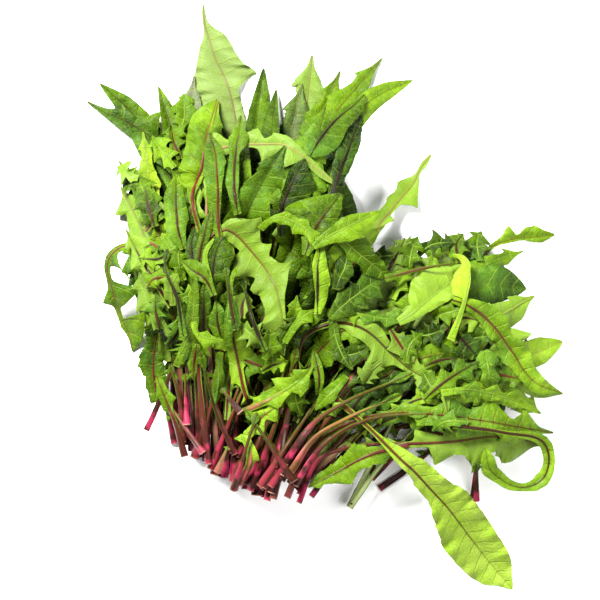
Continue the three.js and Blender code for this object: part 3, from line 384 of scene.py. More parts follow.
# The leaves that show, from the lowest to the highest, each sprig with its look.
SHOWN = [
    ("pale_feet", (0.6, PALE_STALK, 0.1, 0), [
        leaf("lobed", 32, 0.45, 8, 6, [[351, 509], [372, 466], [400, 408], [426, 350], [440, 300]]),
        leaf("toothed", 28, 0.45, 8, -6, [[351, 509], [384, 464], [424, 420], [460, 380], [500, 350]])]),
    ("dark_foot", (0.6, VIVID, 0.2, 0), [
        leaf("lobed", 30, 0.3, 8, 6, [[475, 501], [478, 462], [474, 420], [462, 380], [440, 330]])]),
    ("tall_pale", ((0.6, 0.55), MAUVE, 0.35, -0.9), [
        TALL_PALE,
        leaf("toothed", 28, 0.5, 8, 8,
            [[238, 482], [236, 380], [218, 260], [199, 170], [190, 122], [194, 74]])]),
    ("ridge_left", (0.5, CRIMSON, 0.4, 0), [
        leaf("lobed", 34, 0.42, 8, 8, [[276, 480], [304, 392], [332, 330], [352, 290], [374, 248]]),
        leaf("lobed", 34, 0.45, 8, -8, [[276, 480], [318, 390], [352, 322], [376, 282], [396, 244]])]),
    ("ridge_leaves", (0.7, PINK, 0.4, 0), [
        leaf("lobed", 34, 0.5, 8, -10, [[278, 472], [322, 390], [364, 310], [394, 268], [412, 236]]),
        leaf("lobed", 34, 0.5, 10, 10, [[278, 472], [336, 392], [398, 310], [436, 268], [459, 235]])]),
    ("ridge_right", (0.75, CRIMSON, 0.4, 0), [
        leaf("toothed", 34, 0.5, 10, -8, [[284, 478], [350, 392], [418, 312], [458, 268], [486, 236]]),
        FAR_CORNER]),
    ("left_reach", (0.45, MAROON, 0.5, 0), [
        leaf("entire", 18, 0.62, 12, 8,
            [[206, 462], [204, 360], [192, 250], [168, 170], [136, 117], [99, 82]]),
        LEFT_REACH,
        leaf("entire", 20, 0.55, 24, 24, [[206, 462], [208, 360], [198, 250], [180, 160], [158, 85]])]),
    ("crown_right", (0.4, MAUVE, 0.3, -0.35), [
        leaf("wavy", 36, 0.5, 8, -8, [[256, 496], [272, 380], [288, 260], [302, 150], [313, 53]], True),
        leaf("wavy", 34, 0.5, 10, 12, [[256, 496], [266, 370], [278, 260], [290, 150], [303, 82]])]),
    ("dark_horns", ((0.4, 0.2), BLACKISH, 0.3, 0), [
        leaf("entire", 24, 0.5, 26, 24, [[246, 490], [252, 370], [252, 250], [254, 150], [264, 66]]),
        leaf("entire", 18, 0.55, 22, -20, [[246, 490], [258, 370], [264, 260], [270, 160], [277, 88]])]),
    ("far_right", ((0.7, 0.45), CELADON, 0.1, 0), [
        leaf("wavy", 20, 0.6, 12, 10, [[290, 484], [372, 398], [440, 322], [482, 270], [526, 251]]),
        leaf("rounded", 27, 0.6, 6, 6, [[290, 484], [378, 402], [440, 336], [478, 288], [528, 289]])]),
    ("long_light", (0.6, CRIMSON, 0.35, 0), [
        leaf("toothed", 28, 0.5, 12, 16, [[252, 486], [262, 380], [280, 260], [306, 160], [341, 69]]),
        leaf("wavy", 26, 0.5, 14, -18,
            [[252, 486], [258, 380], [270, 270], [288, 194], [324, 128], [384, 56]])]),
    ("dark_right", ((0.3, 0.8), BLACKISH, 0.3, 0), [
        leaf("wavy", 28, 0.45, 12, -18,
            [[266, 498], [284, 380], [304, 270], [324, 190], [350, 136], [365, 104]]),
        leaf("entire", 16, 0.74, 10, 12,
            [[266, 498], [288, 370], [310, 270], [334, 172], [366, 106], [414, 79]])]),
    ("bright_right", (0.6, MAROON, 0.4, 0), [
        leaf("wavy", 34, 0.45, 8, 14, [[260, 496], [272, 380], [286, 280], [304, 196], [326, 108]])]),
    ("left_star", (0.6, MAUVE, 0.3, 0), [
        leaf("lobed", 34, 0.6, 6, -12, [[186, 446], [174, 356], [158, 285], [146, 238], [120, 186]], True),
        leaf("lobed", 28, 0.6, 12, 10, [[186, 446], [180, 350], [168, 270], [150, 208], [118, 160]])]),
    ("pale_panel", (0.42, CELADON, 0.05, -0.5), [
        leaf("toothed", 30, 0.45, 6, 10, [[282, 474], [326, 390], [360, 310], [402, 277], [467, 261]], True),
        leaf("wavy", 40, 0.5, 6, -8, [[282, 474], [344, 400], [386, 345], [418, 310], [462, 266]], True)]),
    ("right_edge", ((0.7, 0.95), ROSE, 0.2, 0), [
        leaf("wavy", 34, 0.5, 8, 8, [[296, 488], [376, 404], [446, 350], [490, 322], [536, 296]], True),
        leaf("rounded", 20, 0.62, 10, -10, [[296, 488], [388, 412], [460, 378], [515, 362], [566, 342]])]),
    ("yellow_stripe", (0.8, MAUVE, 0.2, 0.25), [
        leaf("toothed", 20, 0.55, 20, -16, [[192, 452], [188, 370], [170, 275], [154, 200], [143, 131]])]),
    ("red_ribs", (0.7, VIVID, 0.7, 0), [
        leaf("wavy", 30, 0.45, 12, -12,
            [[214, 468], [214, 370], [203, 275], [198, 212], [206, 155], [219, 100]]),
        leaf("wavy", 28, 0.45, 18, 10, [[214, 468], [222, 370], [222, 290], [221, 215], [211, 137]])]),
    ("narrow_middle", (0.65, MAROON, 0.5, 0), [
        leaf("entire", 24, 0.5, 18, 16, [[236, 484], [240, 370], [237, 270], [236, 190], [241, 117]])]),
    ("across", (0.6, ROSE, 0.35, -0.3), [ACROSS]),
    ("folded_big", (0.5, BLACKISH, 0.4, 0), [
        leaf("wavy", 38, 0.4, 20, 12,
            [[226, 478], [228, 370], [232, 290], [244, 228], [264, 184], [286, 148]])]),
    ("bumpy", (0.7, MAROON, 0.4, 0.05), [
        leaf("toothed", 34, 0.45, 6, -6, [[200, 458], [196, 370], [188, 310], [182, 245], [179, 175]])]),
    ("left_curl", (0.7, PINK, 0.3, 0), [LEFT_CURL]),
    ("low_left", (0.45, CRIMSON, 0.5, 0), [
        leaf("toothed", 24, 0.34, 10, 14,
            [[205, 451], [180, 424], [161, 400], [154, 372], [158, 335], [170, 292]])]),
    ("left_stalk", (0.5, MAROON, 0.4, 0), [
        leaf("toothed", 22, 0.5, 12, -12, [[147, 431], [163, 396], [178, 352], [190, 306], [196, 256]])]),
    ("curved_rib", (0.6, VIVID, 0.6, 0), [
        leaf("wavy", 32, 0.5, 8, -16,
            [[235, 452], [216, 405], [200, 354], [182, 326], [167, 296], [166, 266], [188, 236]])]),
    ("brow_and_wedge", (0.45, CRIMSON, 0.4, 0), [
        leaf("toothed", 28, 0.45, 14, -12, [[268, 500], [288, 385], [298, 310], [306, 250], [331, 196]]),
        leaf("wavy", 30, 0.45, 10, 12, [[268, 500], [296, 385], [311, 310], [322, 250], [343, 196]])]),
    ("lone_and_spear", (0.7, PINK, 0.3, 0), [
        LONE_TOOTHED,
        leaf("wavy", 26, 0.5, 22, 10, [[274, 498], [300, 390], [316, 315], [340, 262], [385, 226]])]),
    ("dark_upright", (0.15, BLACKISH, 0.3, 0), [
        leaf("toothed", 28, 0.4, 16, 14, [[272, 492], [304, 400], [319, 330], [321, 275], [309, 232]])]),
    ("orange_stalk", (0.5, ORANGE, 0.4, 0), [
        leaf("lobed", 34, 0.45, 8, -10, [[300, 494], [318, 452], [350, 410], [400, 382], [452, 360]])]),
    ("middle_star", (0.6, CRIMSON, 0.4, 0), [
        leaf("toothed", 28, 0.45, 8, 12, [[292, 482], [342, 412], [395, 370], [440, 354], [487, 355]])]),
    ("lower_right", ((0.6, 0.85), MAROON, 0.4, 0), [
        leaf("wavy", 34, 0.45, 6, 8, [[312, 496], [362, 436], [420, 408], [470, 408], [510, 424]]),
        leaf("toothed", 32, 0.5, 8, -8, [[312, 496], [370, 424], [440, 392], [495, 390], [542, 414]])]),
    ("brown_arc", (0.65, BROWN, 0.4, 0), [BROWN_ARC]),
    ("toothed_over", (0.55, CRIMSON, 0.4, 0), [
        leaf("lobed", 30, 0.4, 10, -8, [[276, 466], [290, 410], [312, 362], [346, 330], [398, 332]])]),
    ("crossing_low", (0.5, BROWN, 0.2, 0), [
        leaf("toothed", 24, 0.5, 10, 8, [[235, 490], [255, 417], [275, 372], [290, 334], [298, 296]])]),
    ("low_bright", (0.95, CRIMSON, 0.4, 0), [
        leaf("lobed", 34, 0.4, 6, 8,
            [[294, 478], [270, 440], [249, 402], [238, 355], [229, 300], [234, 240]])]),
    ("small_over", (0.7, CRIMSON, 0.4, 0), [
        leaf("toothed", 20, 0.12, 10, 8, [[244, 412], [262, 404], [280, 392], [296, 380], [313, 365]])]),
    ("long_maroon", (0.5, CRIMSON, 0.6, 0), [
        leaf("lobed", 46, 0.5, 6, 8,
            [[300, 502], [326, 452], [384, 444], [450, 441], [500, 436], [548, 446]], True)]),
    ("long_red", (0.65, CRIMSON, 0.6, 0), [
        leaf("lobed", 30, 0.45, 8, -10,
            [[288, 496], [306, 456], [345, 424], [400, 412], [470, 418], [554, 433]])]),
    ("dark_arc", (0.55, MAROON, 0.5, 0), [DARK_ARC]),
    ("light_hero", (0.4, CRIMSON, 0.3, -0.05), [LIGHT_HERO]),
    ("ribbon", (0.8, MAROON, 0.4, 0), [RIBBON]),
    ("small_low", (0.7, CRIMSON, 0.4, 0), [
        leaf("toothed", 22, 0.1, 8, -8, [[408, 444], [370, 454], [340, 470], [309, 486]])]),
    # Its tone above 1 is partly painted light: brighter than its own green, since the key light falls weakly
    # on it here, and it reaches the painted sheen
    ("lone_big", (1.15, BROWN, 0.2, 0.05), [LONE_BIG]),
]

LOOKS = {name: look for name, look, _ in SHOWN}
HIDDEN_LOOKS = (
    (0.3, CRIMSON, 0.4, 0), (0.15, BLACKISH, 0.3, 0), (0.45, MAROON, 0.4, 0), (0.25, PINK, 0.3, 0),
)

# Sprigs whose cut ends are green, not red.
GREEN_FEET = ("lone_big", "ribbon", "pale_feet", "small_low")

# Leaves laid over the rest that show whole or in part. They are only in this scene.
COVER = named("cover", [
    ("inner", 0.5, MAROON, traced(4, 0, [[240, 216], [238, 206]], [
        [237, 198, 231, 199, 240, 198], [236, 184, 228, 185, 241, 184], [236, 170, 229, 169, 241, 169],
        [237, 158, 231, 158, 241, 157], [238, 147, 230, 148, 248, 147], [240, 138, 231, 139, 250, 139],
        [241, 129, 236, 130, 246, 130], [242, 117],
    ])),
    ("red_rib", 0.65, VIVID, traced(6, 0, [[204, 240], [200, 226]], [
        [196, 209, 193, 209, 198, 209], [194, 197, 189, 192, 197, 197], [198, 184, 184, 184, 203, 184],
        [203, 172, 179, 173, 207, 173], [205, 160, 184, 158, 209, 160], [207, 148, 187, 146, 211, 148],
        [209, 136, 189, 132, 213, 137], [212, 123, 192, 120, 215, 124], [215, 112, 200, 110, 217, 113],
        [218, 100],
    ])),
    ("narrow", 0.5, CRIMSON, traced(4, 0, [[223, 244], [221, 232]], [
        [220, 222, 213, 222, 222, 222], [220, 206, 210, 207, 223, 206], [220, 190, 208, 190, 224, 190],
        [219, 176, 206, 176, 226, 176], [218, 163, 206, 162, 227, 163], [216, 151, 206, 150, 224, 152],
        [213, 142, 208, 143, 219, 143], [211, 135],
    ])),
    ("wavy", 0.6, MAROON, traced(5, 0, [[186, 250], [182, 238]], [
        [180, 229, 169, 231, 188, 229], [179, 218, 168, 218, 191, 220], [178, 207, 166, 207, 189, 208],
        [178, 197, 166, 198, 187, 198], [178, 189, 169, 190, 185, 190], [178, 183, 172, 184, 182, 184],
        [178, 177],
    ])),
    ("dark_up", 0.25, BLACKISH, traced(6, 0, [[197, 290], [196, 275]], [
        [195, 262, 190, 263, 200, 262], [194, 252, 188, 253, 200, 252], [194, 243, 189, 243, 200, 242],
        [197, 229],
    ])),
    ("small_up", 0.45, MAROON, traced(5, 0, [[204, 290], [202, 276]], [
        [201, 264, 196, 264, 206, 264], [203, 250, 198, 250, 209, 250], [206, 238, 201, 238, 212, 238],
        [209, 226, 204, 226, 215, 226], [213, 213],
    ])),
    ("deep", 0.2, BLACKISH, traced(6, 0, [[218, 326], [217, 312], [215, 298]], [
        [214, 284, 211, 284, 218, 284], [215, 275, 210, 273, 228, 281], [216, 264, 207, 264, 231, 271],
        [218, 253, 207, 253, 235, 257], [221, 245, 212, 243, 234, 247], [226, 238],
    ])),
    ("bright_edge", 0.8, CELADON, traced(4, 0, [[214, 292], [213, 284]], [
        [212, 277, 209, 278, 214, 277], [208, 266, 205, 267, 211, 265], [207, 256, 205, 257, 210, 255],
        [210, 248, 207, 249, 213, 248], [216, 240],
    ])),
    ("inner_low", 0.4, MAROON, traced(6, 0, [[208, 344], [207, 336]], [
        [206, 328, 202, 328, 210, 328], [206, 317, 198, 318, 214, 316], [206, 306, 200, 308, 213, 304],
        [206, 296, 201, 297, 212, 295], [207, 283],
    ])),
    ("shoulder", 0.55, MAROON, traced(4, 0, [[216, 296], [213, 287]], [
        [208, 280, 208, 285, 211, 275], [203, 275, 200, 281, 207, 266], [197, 272, 195, 279, 200, 262],
        [192, 268, 189, 272, 196, 260], [185, 262],
    ])),
    ("strip", 0.5, CELADON, traced(6, 0, [[178, 366], [183, 354]], [
        [187, 345, 184, 343, 190, 347], [192, 334, 187, 332, 198, 336], [195, 322, 188, 320, 201, 324],
        [196, 310, 190, 308, 201, 312], [197, 298, 192, 297, 202, 299], [198, 288, 194, 288, 201, 288],
        [199, 276],
    ])),
    ("lobes", 0.55, MAROON, traced(4, 0, [[224, 340], [222, 333]], [
        [220, 326, 211, 327, 228, 326], [219, 318, 211, 318, 229, 317], [219, 311, 214, 311, 226, 310],
        [218, 301],
    ])),
    ("arch", 0.6, CELADON, traced(4, 0, [[230, 345], [229, 332]], [
        [229, 322, 226, 322, 236, 327], [230, 313, 227, 313, 242, 322], [231, 304, 229, 304, 238, 308],
        [232, 295, 230, 295, 235, 295], [233, 284, 231, 284, 235, 284], [235, 274, 233, 274, 238, 275],
        [239, 268],
    ])),
    ("star", 0.8, CELADON, traced(4, 0, [[196, 322], [199, 329]], [
        [203, 336, 200, 331, 201, 341], [209, 338, 210, 331, 208, 349], [215, 339, 214, 335, 215, 344],
        [225, 340],
    ])),
    ("ragged", 0.55, CRIMSON, traced(4, 0, [[199, 344], [198, 350]], [
        [197, 356, 202, 355, 192, 357], [196, 363, 200, 362, 190, 364], [196, 370, 199, 370, 193, 372],
        [195, 379],
    ])),
    ("pale_low", 0.6, CELADON, traced(4, 0, [[221, 352], [221, 358]], [
        [220, 366, 224, 366, 217, 366], [220, 376, 226, 375, 214, 377], [219, 386, 224, 386, 213, 388],
        [218, 394, 222, 394, 214, 395], [216, 404],
    ])),
    ("jagged_bar", 0.6, CELADON, traced(5, 0, [[286, 342], [293, 331]], [
        [299, 322, 296, 320, 302, 325], [305, 316, 301, 311, 313, 322], [313, 312, 311, 310, 314, 316],
        [320, 312, 324, 306, 313, 326], [328, 311, 329, 309, 327, 314], [336, 311, 342, 305, 330, 321],
        [344, 312, 345, 309, 343, 315], [352, 312, 360, 307, 355, 326], [361, 314, 362, 311, 359, 317],
        [370, 316, 378, 310, 364, 324], [380, 318, 381, 315, 378, 321], [390, 319, 398, 313, 385, 327],
        [400, 320, 401, 317, 399, 323], [414, 319],
    ])),
    ("crossing", 0.3, CELADON, traced(4, 0, [[333, 320], [334, 328]], [
        [336, 336, 340, 334, 330, 338], [339, 346, 343, 344, 333, 350], [343, 355, 347, 353, 336, 358],
        [347, 362, 349, 361, 344, 364], [353, 369],
    ])),
    ("low_upright", 0.6, MAROON, traced(5, 0, [[319, 394], [319, 385]], [
        [320, 376, 315, 377, 325, 377], [318, 366, 312, 367, 323, 365], [316, 358, 312, 358, 320, 357],
        [314, 349],
    ])),
    ("low_slant", 0.5, CELADON, traced(5, 0, [[347, 376], [342, 382]], [
        [336, 388, 340, 391, 331, 383], [330, 394, 335, 399, 324, 389], [324, 400, 328, 404, 319, 396],
        [316, 409],
    ])),
    ("dark_right", 0.15, BLACKISH, traced(6, 0, [[326, 212], [331, 200]], [
        [335, 188, 332, 186, 338, 190], [341, 172, 333, 168, 349, 174], [346, 158, 337, 154, 356, 158],
        [351, 145, 341, 140, 361, 146], [355, 133, 344, 126, 362, 136], [359, 124, 351, 118, 363, 126],
        [362, 116],
    ])),
    ("long_right", 0.4, BLACKISH, traced(6, 0, [[311, 158], [314, 151]], [
        [318, 145, 313, 141, 330, 156], [326, 134, 321, 129, 340, 146], [335, 123, 330, 118, 349, 130],
        [345, 114, 341, 110, 357, 120], [355, 106, 352, 103, 363, 112], [365, 95],
    ])),
    ("dark_mid", 0.15, BLACKISH, traced(6, 0, [[282, 238], [281, 227]], [
        [282, 214, 278, 212, 292, 218], [285, 203, 281, 201, 302, 208], [290, 191, 285, 188, 312, 197],
        [295, 180, 289, 176, 317, 188], [300, 170, 295, 167, 310, 173], [306, 161],
    ])),
    ("spear", 0.75, BLACKISH, traced(5, 0, [[318, 314], [318, 305]], [
        [318, 296, 316, 296, 328, 297], [318, 280, 314, 280, 330, 280], [318, 266, 313, 266, 328, 266],
        [320, 254, 316, 254, 326, 254], [322, 242],
    ])),
    ("olive", 0.3, CELADON, traced(5, 0, [[330, 318], [336, 312]], [
        [342, 307, 334, 303, 346, 317], [346, 304, 339, 292, 356, 312], [350, 300, 347, 289, 353, 308],
        [356, 296, 349, 280, 369, 308], [361, 292, 357, 284, 366, 300], [368, 287, 363, 274, 383, 298],
        [376, 282, 374, 276, 380, 286], [386, 275],
    ])),
    ("wedge", 0.45, MAROON, traced(8, 0, [[306, 256], [310, 244]], [
        [315, 232, 302, 230, 327, 237], [319, 225, 292, 221, 334, 230], [325, 216, 286, 211, 339, 220],
        [332, 207, 304, 200, 342, 210], [341, 195],
    ])),
    ("brow", 0.75, CELADON, traced(5, 0, [[262, 230], [266, 224]], [
        [274, 220, 275, 217, 274, 224], [284, 219, 288, 213, 281, 226], [293, 222, 296, 219, 290, 227],
        [301, 226, 308, 221, 294, 235], [309, 232, 312, 229, 306, 237], [316, 238, 320, 234, 311, 245],
        [325, 248],
    ])),
    ("dark_round", 0.15, CELADON, traced(5, 0, [[336, 290], [338, 283]], [
        [341, 277, 335, 276, 348, 282], [345, 269, 336, 265, 353, 275], [347, 261, 341, 258, 352, 264],
        [348, 255],
    ])),
    ("olive_down", 0.5, CELADON, traced(5, 0, [[330, 234], [335, 236]], [
        [342, 240, 348, 234, 337, 244], [350, 247, 362, 236, 344, 251], [358, 254, 372, 248, 348, 260],
        [366, 260, 376, 256, 358, 265], [375, 267, 383, 262, 364, 274], [390, 280],
    ])),
    ("bright_fold", 0.65, CELADON, traced(7, 0, [[314, 248], [322, 242]], [
        [330, 237, 331, 228, 335, 244], [342, 231, 340, 221, 350, 242], [354, 225, 351, 216, 364, 238],
        [366, 219, 364, 214, 372, 228], [381, 212],
    ])),
    ("right_star", 0.7, CELADON, traced(4, 0, [[484, 350], [486, 357]], [
        [487, 364, 499, 361, 474, 364], [488, 370, 494, 368, 482, 371], [489, 376, 500, 378, 480, 381],
        [491, 388],
    ])),
    ("right_jagged", 0.55, MAROON, traced(5, 0, [[424, 398], [430, 392]], [
        [437, 386, 434, 382, 441, 390], [445, 380, 440, 368, 455, 390], [453, 375, 450, 372, 456, 379],
        [461, 370, 458, 358, 472, 381], [469, 366, 467, 363, 472, 370], [478, 361],
    ])),
    ("right_low", 0.75, CELADON, traced(5, 0, [[440, 392], [450, 390]], [
        [460, 389, 460, 386, 459, 393], [470, 389, 474, 380, 466, 397], [480, 391, 481, 388, 478, 396],
        [490, 393, 496, 384, 485, 401], [500, 396, 502, 392, 498, 400], [512, 399, 519, 390, 508, 407],
        [524, 404, 526, 401, 521, 408], [538, 411],
    ])),
    ("pale_rib", 0.75, CELADON, traced(5, 0, [[398, 322], [407, 317]], [
        [414, 312, 409, 306, 420, 317], [422, 305, 409, 292, 432, 310], [431, 298, 411, 280, 443, 304],
        [441, 290, 420, 271, 452, 299], [451, 282, 436, 268, 461, 292], [460, 274, 450, 266, 466, 282],
        [470, 264],
    ], True)),
    ("right_arc", 0.75, BROWN, traced(6, 0, [[452, 300], [459, 301]], [
        [466, 305, 469, 299, 464, 310], [480, 314, 486, 303, 476, 319], [496, 330, 507, 318, 489, 338],
        [505, 342, 511, 336, 496, 344], [513, 353, 526, 343, 503, 362], [524, 371, 533, 362, 516, 375],
        [538, 384, 544, 378, 532, 391], [560, 392],
    ])),
    ("yellow", 0.95, CELADON, traced(4, 0, [[450, 340], [456, 325], [461, 311]], [
        [464, 300, 462, 300, 466, 300], [466, 291, 453, 294, 468, 291], [468, 282, 451, 284, 470, 282],
        [468, 272, 454, 275, 470, 272], [467, 264, 460, 268, 470, 263], [462, 259, 461, 262, 464, 256],
        [453, 255],
    ])),
    ("dark_rib", 0.3, BLACKISH, bare(5, 0.85, 3, [[186, 336], [182, 304], [168, 274], [170, 250]])),
    ("maroon_rib", 0.3, MAROON, bare(5, 0.85, 3, [[238, 330], [232, 300], [228, 268]])),
    ("brown_stalk", 0.5, BROWN, bare(4, 0.85, 3, [[385, 279], [410, 272], [438, 266], [455, 264]])),
    ("black_stalk", 0.3, BLACKISH, bare(5, 0.85, 3, [[267, 350], [258, 330], [250, 305], [244, 279]])),
])

# How much some of them have yellowed.
YELLOW_LEAVES = {"cover_yellow": 0.25, "cover_strip": 0.1}

# Small jagged leaves over the heap, outer ones first: the middle on the sheet, the way the tip points in
# degrees from the right, the length in steps of the sheet, and how bright. They are only in this scene.
JAGGED = [
    (482, 246, 85, 30, 0.45), (462, 249, 80, 30, 0.55), (437, 249, 20, 38, 0.2), (396, 256, 62, 40, 0.35),
    (382, 258, 190, 26, 0.25), (414, 254, 75, 36, 0.5), (505, 376, -10, 40, 0.6), (476, 342, 20, 34, 0.3),
    (466, 322, 5, 30, 0.85), (448, 311, 190, 36, 0.55), (468, 346, -50, 32, 0.3), (400, 284, 65, 34, 0.7),
    (424, 332, 10, 44, 0.2), (402, 346, -55, 40, 0.25), (414, 348, 60, 34, 0.45), (446, 362, 10, 44, 0.3),
    (430, 384, -60, 32, 0.3), (396, 384, 15, 40, 0.15), (372, 372, -130, 30, 0.2), (182, 112, 85, 40, 0.55),
    (176, 142, 105, 36, 0.5), (164, 152, 125, 40, 0.75), (152, 208, 105, 40, 0.35), (128, 172, 150, 26, 0.7),
    (156, 256, 190, 30, 0.8), (172, 248, 120, 32, 0.8), (184, 264, 95, 34, 0.5), (162, 284, 200, 28, 0.6),
    (178, 290, 80, 32, 0.4), (160, 312, 95, 34, 0.5), (192, 300, 15, 26, 0.75), (176, 330, 65, 34, 0.55),
    (236, 292, 60, 30, 0.3), (252, 334, -40, 26, 0.4), (258, 364, -20, 26, 0.6), (290, 330, 60, 36, 0.25),
    (302, 372, -130, 36, 0.65), (300, 400, 95, 30, 0.45), (334, 404, -80, 24, 0.7), (449, 425, 195, 36, 0.55),
    (352, 352, 15, 36, 0.25), (226, 322, 110, 24, 0.6), (202, 344, 60, 24, 0.7), (246, 306, 80, 26, 0.4),
    (186, 352, 70, 22, 0.5), (276, 366, 20, 28, 0.7), (268, 344, 80, 30, 0.5),
]
JAGGED_HUES = (CELADON, MAROON, CELADON, BLACKISH, CELADON, CELADON, CRIMSON)
JAGGED_CUTS = ("lobed", "toothed", "lobed")
JAGGED_WIDTH, JAGGED_STALK, JAGGED_FOLD = (15, 23), (0.04, 0.14), (4, 16)
JAGGED_BEND = (-5, 5)
JAGGED_TURNED = 5  # one leaf in so many shows its underside

# Small leaves and bare stalks that lie loose over the cut ends. They are only in this scene.
LOOSE = named("loose", [
    ("long_orange", 0.6, ORANGE, bare(6, 0.88, 4,
        [[292, 470], [312, 440], [340, 421], [368, 408], [402, 394]])),
    ("long_crimson", 0.5, CRIMSON, bare(6, 0.88, 4,
        [[296, 484], [318, 450], [350, 426], [384, 415], [426, 413]])),
    ("long_brown", 0.5, BROWN, bare(6, 0.85, 4,
        [[286, 462], [310, 426], [340, 404], [372, 390], [412, 372]])),
    ("dark_foot", 0.3, BLACKISH, bare(6, 0.8, 4, [[477, 501], [477, 482], [476, 462]])),
    ("pink_stalk", 0.5, PINK, bare(6, 0.85, 4, [[204, 453], [188, 430], [168, 402]])),
    ("red_stalk", 0.5, VIVID, bare(6, 0.85, 4, [[189, 425], [187, 400], [186, 374]])),
    ("left_foot", 0.5, CRIMSON, leaf("toothed", 14, 0.5, 8, 8,
        [[186, 457], [178, 428], [166, 398], [158, 376]])),
    ("low_star", 0.9, CRIMSON, leaf("lobed", 20, 0.25, 8, 6,
        [[238, 456], [250, 436], [262, 418], [282, 402]])),
    ("jagged", 0.8, CELADON, leaf("lobed", 22, 0.15, 8, -6,
        [[240, 412], [262, 403], [293, 385], [314, 366]])),
    ("crossing", 0.5, MAROON, bare(6, 0.85, 4, [[236, 454], [216, 407], [203, 352]])),
    ("orange", 0.5, ORANGE, bare(5, 0.85, 4, [[242, 412], [232, 400], [223, 388]])),
    ("maroon", 0.5, MAROON, bare(6, 0.85, 4, [[295, 480], [270, 442], [248, 410]])),
    ("stub", 0.6, ROSE, bare(6, 0.9, 4, [[218, 472], [223, 460], [229, 446]])),
    ("low_curl", 0.95, CELADON, leaf("wavy", 11, 0.2, 8, 8,
        [[240, 484], [250, 466], [252, 450], [245, 439], [236, 438]])),
    ("low_crossing", 0.4, BROWN, bare(6, 0.85, 4, [[234, 490], [246, 452], [258, 412]])),
])

# Small jagged leaves that fill the heap between the large ones, placed by rule. They are only in this scene.
FILL = (
    dict(
        name="fill_up", count=44, along=(0.12, 0.8),
        feet=[[176, 440], [200, 440], [236, 440], [262, 440]],
        tips=[[112, 200], [140, 120], [215, 90], [296, 96], [352, 150]],
    ),
    dict(
        name="fill_right", count=36, along=(0.12, 0.82),
        feet=[[276, 400], [290, 430], [300, 460], [330, 488]],
        tips=[[400, 246], [476, 250], [532, 300], [550, 370], [534, 440]],
    ),
)
FILL_ASIDE, FILL_LENGTH, FILL_BEND = 0.38, (34, 74), (-9, 9)
FILL_WIDTH, FILL_STALK, FILL_TURN = (13, 24), (0.05, 0.3), (-24, 24)
FILL_CUTS = ("lobed", "toothed", "lobed", "lobed")
FILL_HUES = (MAROON, CRIMSON, BLACKISH, PINK, CELADON)
FILL_TONE, FILL_BLUSH = (0.1, 0.8), (0.1, 0.5)
FILL_ACROSS, FILL_FOLD, FILL_TURNED = (0.03, 0.97), (2, 16), 0.25
FILL_SHUFFLE = 37
FILL_HIGHEST, FILL_LOWEST = 68, 425

# Thin bare stalks among the thick ones, between the cut ends and the lowest blades.
STALKS = dict(
    count=34, seed=3301,
    feet=[[172, 440], [198, 458], [222, 474], [248, 486], [268, 488], [290, 470]],
    ends=[[176, 370], [206, 362], [238, 356], [274, 352], [318, 352], [366, 372], [400, 400]],
)
STALK_STRAY, STALK_END_STRAY, STALK_TIP_STRAY, STALK_WIDTH = (-5, 5), (-9, 9), (-0.14, 0.14), (3, 6)
STALK_BARE, STALK_FOLD, STALK_LOOK = 0.86, 4, (0.4, 0.4)
STALK_HUES = (MAROON, CRIMSON, VIVID, BROWN, MAROON, CRIMSON, BLACKISH)


def lerp(a, b, t):
    return a + (b - a) * t


def clamp(value, low, high):
    return np.minimum(np.maximum(value, low), high)


def smoothstep(value, low, high):
    t = clamp((value - low) / (high - low), 0.0, 1.0)
    return t * t * (3 - 2 * t)


def on_sheet(x, y):
    return np.array([(x - SHEET_MIDDLE) * SHEET_STEP, (SHEET_MIDDLE - y) * SHEET_STEP])


def to_the_right(ahead):
    return np.array([ahead[1], -ahead[0]])


class Route:
    """A smooth curve through points of the plan, measured along its length."""

    def __init__(self, points):
        self.points = np.array(points, float)
        self.shares = np.linspace(0, 1, ROUTE_DIVISIONS + 1)
        steps = np.diff(self.at_share(self.shares), axis=0)
        self.lengths = np.concatenate([[0], np.cumsum(np.hypot(steps[:, 0], steps[:, 1]))])
        self.length = self.lengths[-1]

    def at_share(self, t):
        last = len(self.points) - 1
        place = last * np.atleast_1d(t)
        i = np.floor(place).astype(int)
        w = (place - i)[:, None]
        p0, p1 = self.points[np.maximum(i - 1, 0)], self.points[i]
        p2, p3 = self.points[np.minimum(i + 1, last)], self.points[np.minimum(i + 2, last)]
        v0, v1 = (p2 - p0) * 0.5, (p3 - p1) * 0.5
        return (2 * p1 - 2 * p2 + v0 + v1) * w**3 + (-3 * p1 + 3 * p2 - 2 * v0 - v1) * w**2 + v0 * w + p1

    def share_of(self, s):
        return np.interp(s, self.lengths, self.shares)

    def at(self, s):
        return self.at_share(self.share_of(s))[0]

    def ahead(self, s):
        t = self.share_of(s)
        before, after = max(t - TANGENT_STEP, 0), min(t + TANGENT_STEP, 1)
        step = (self.at_share(after) - self.at_share(before))[0]
        return step / np.hypot(*step)


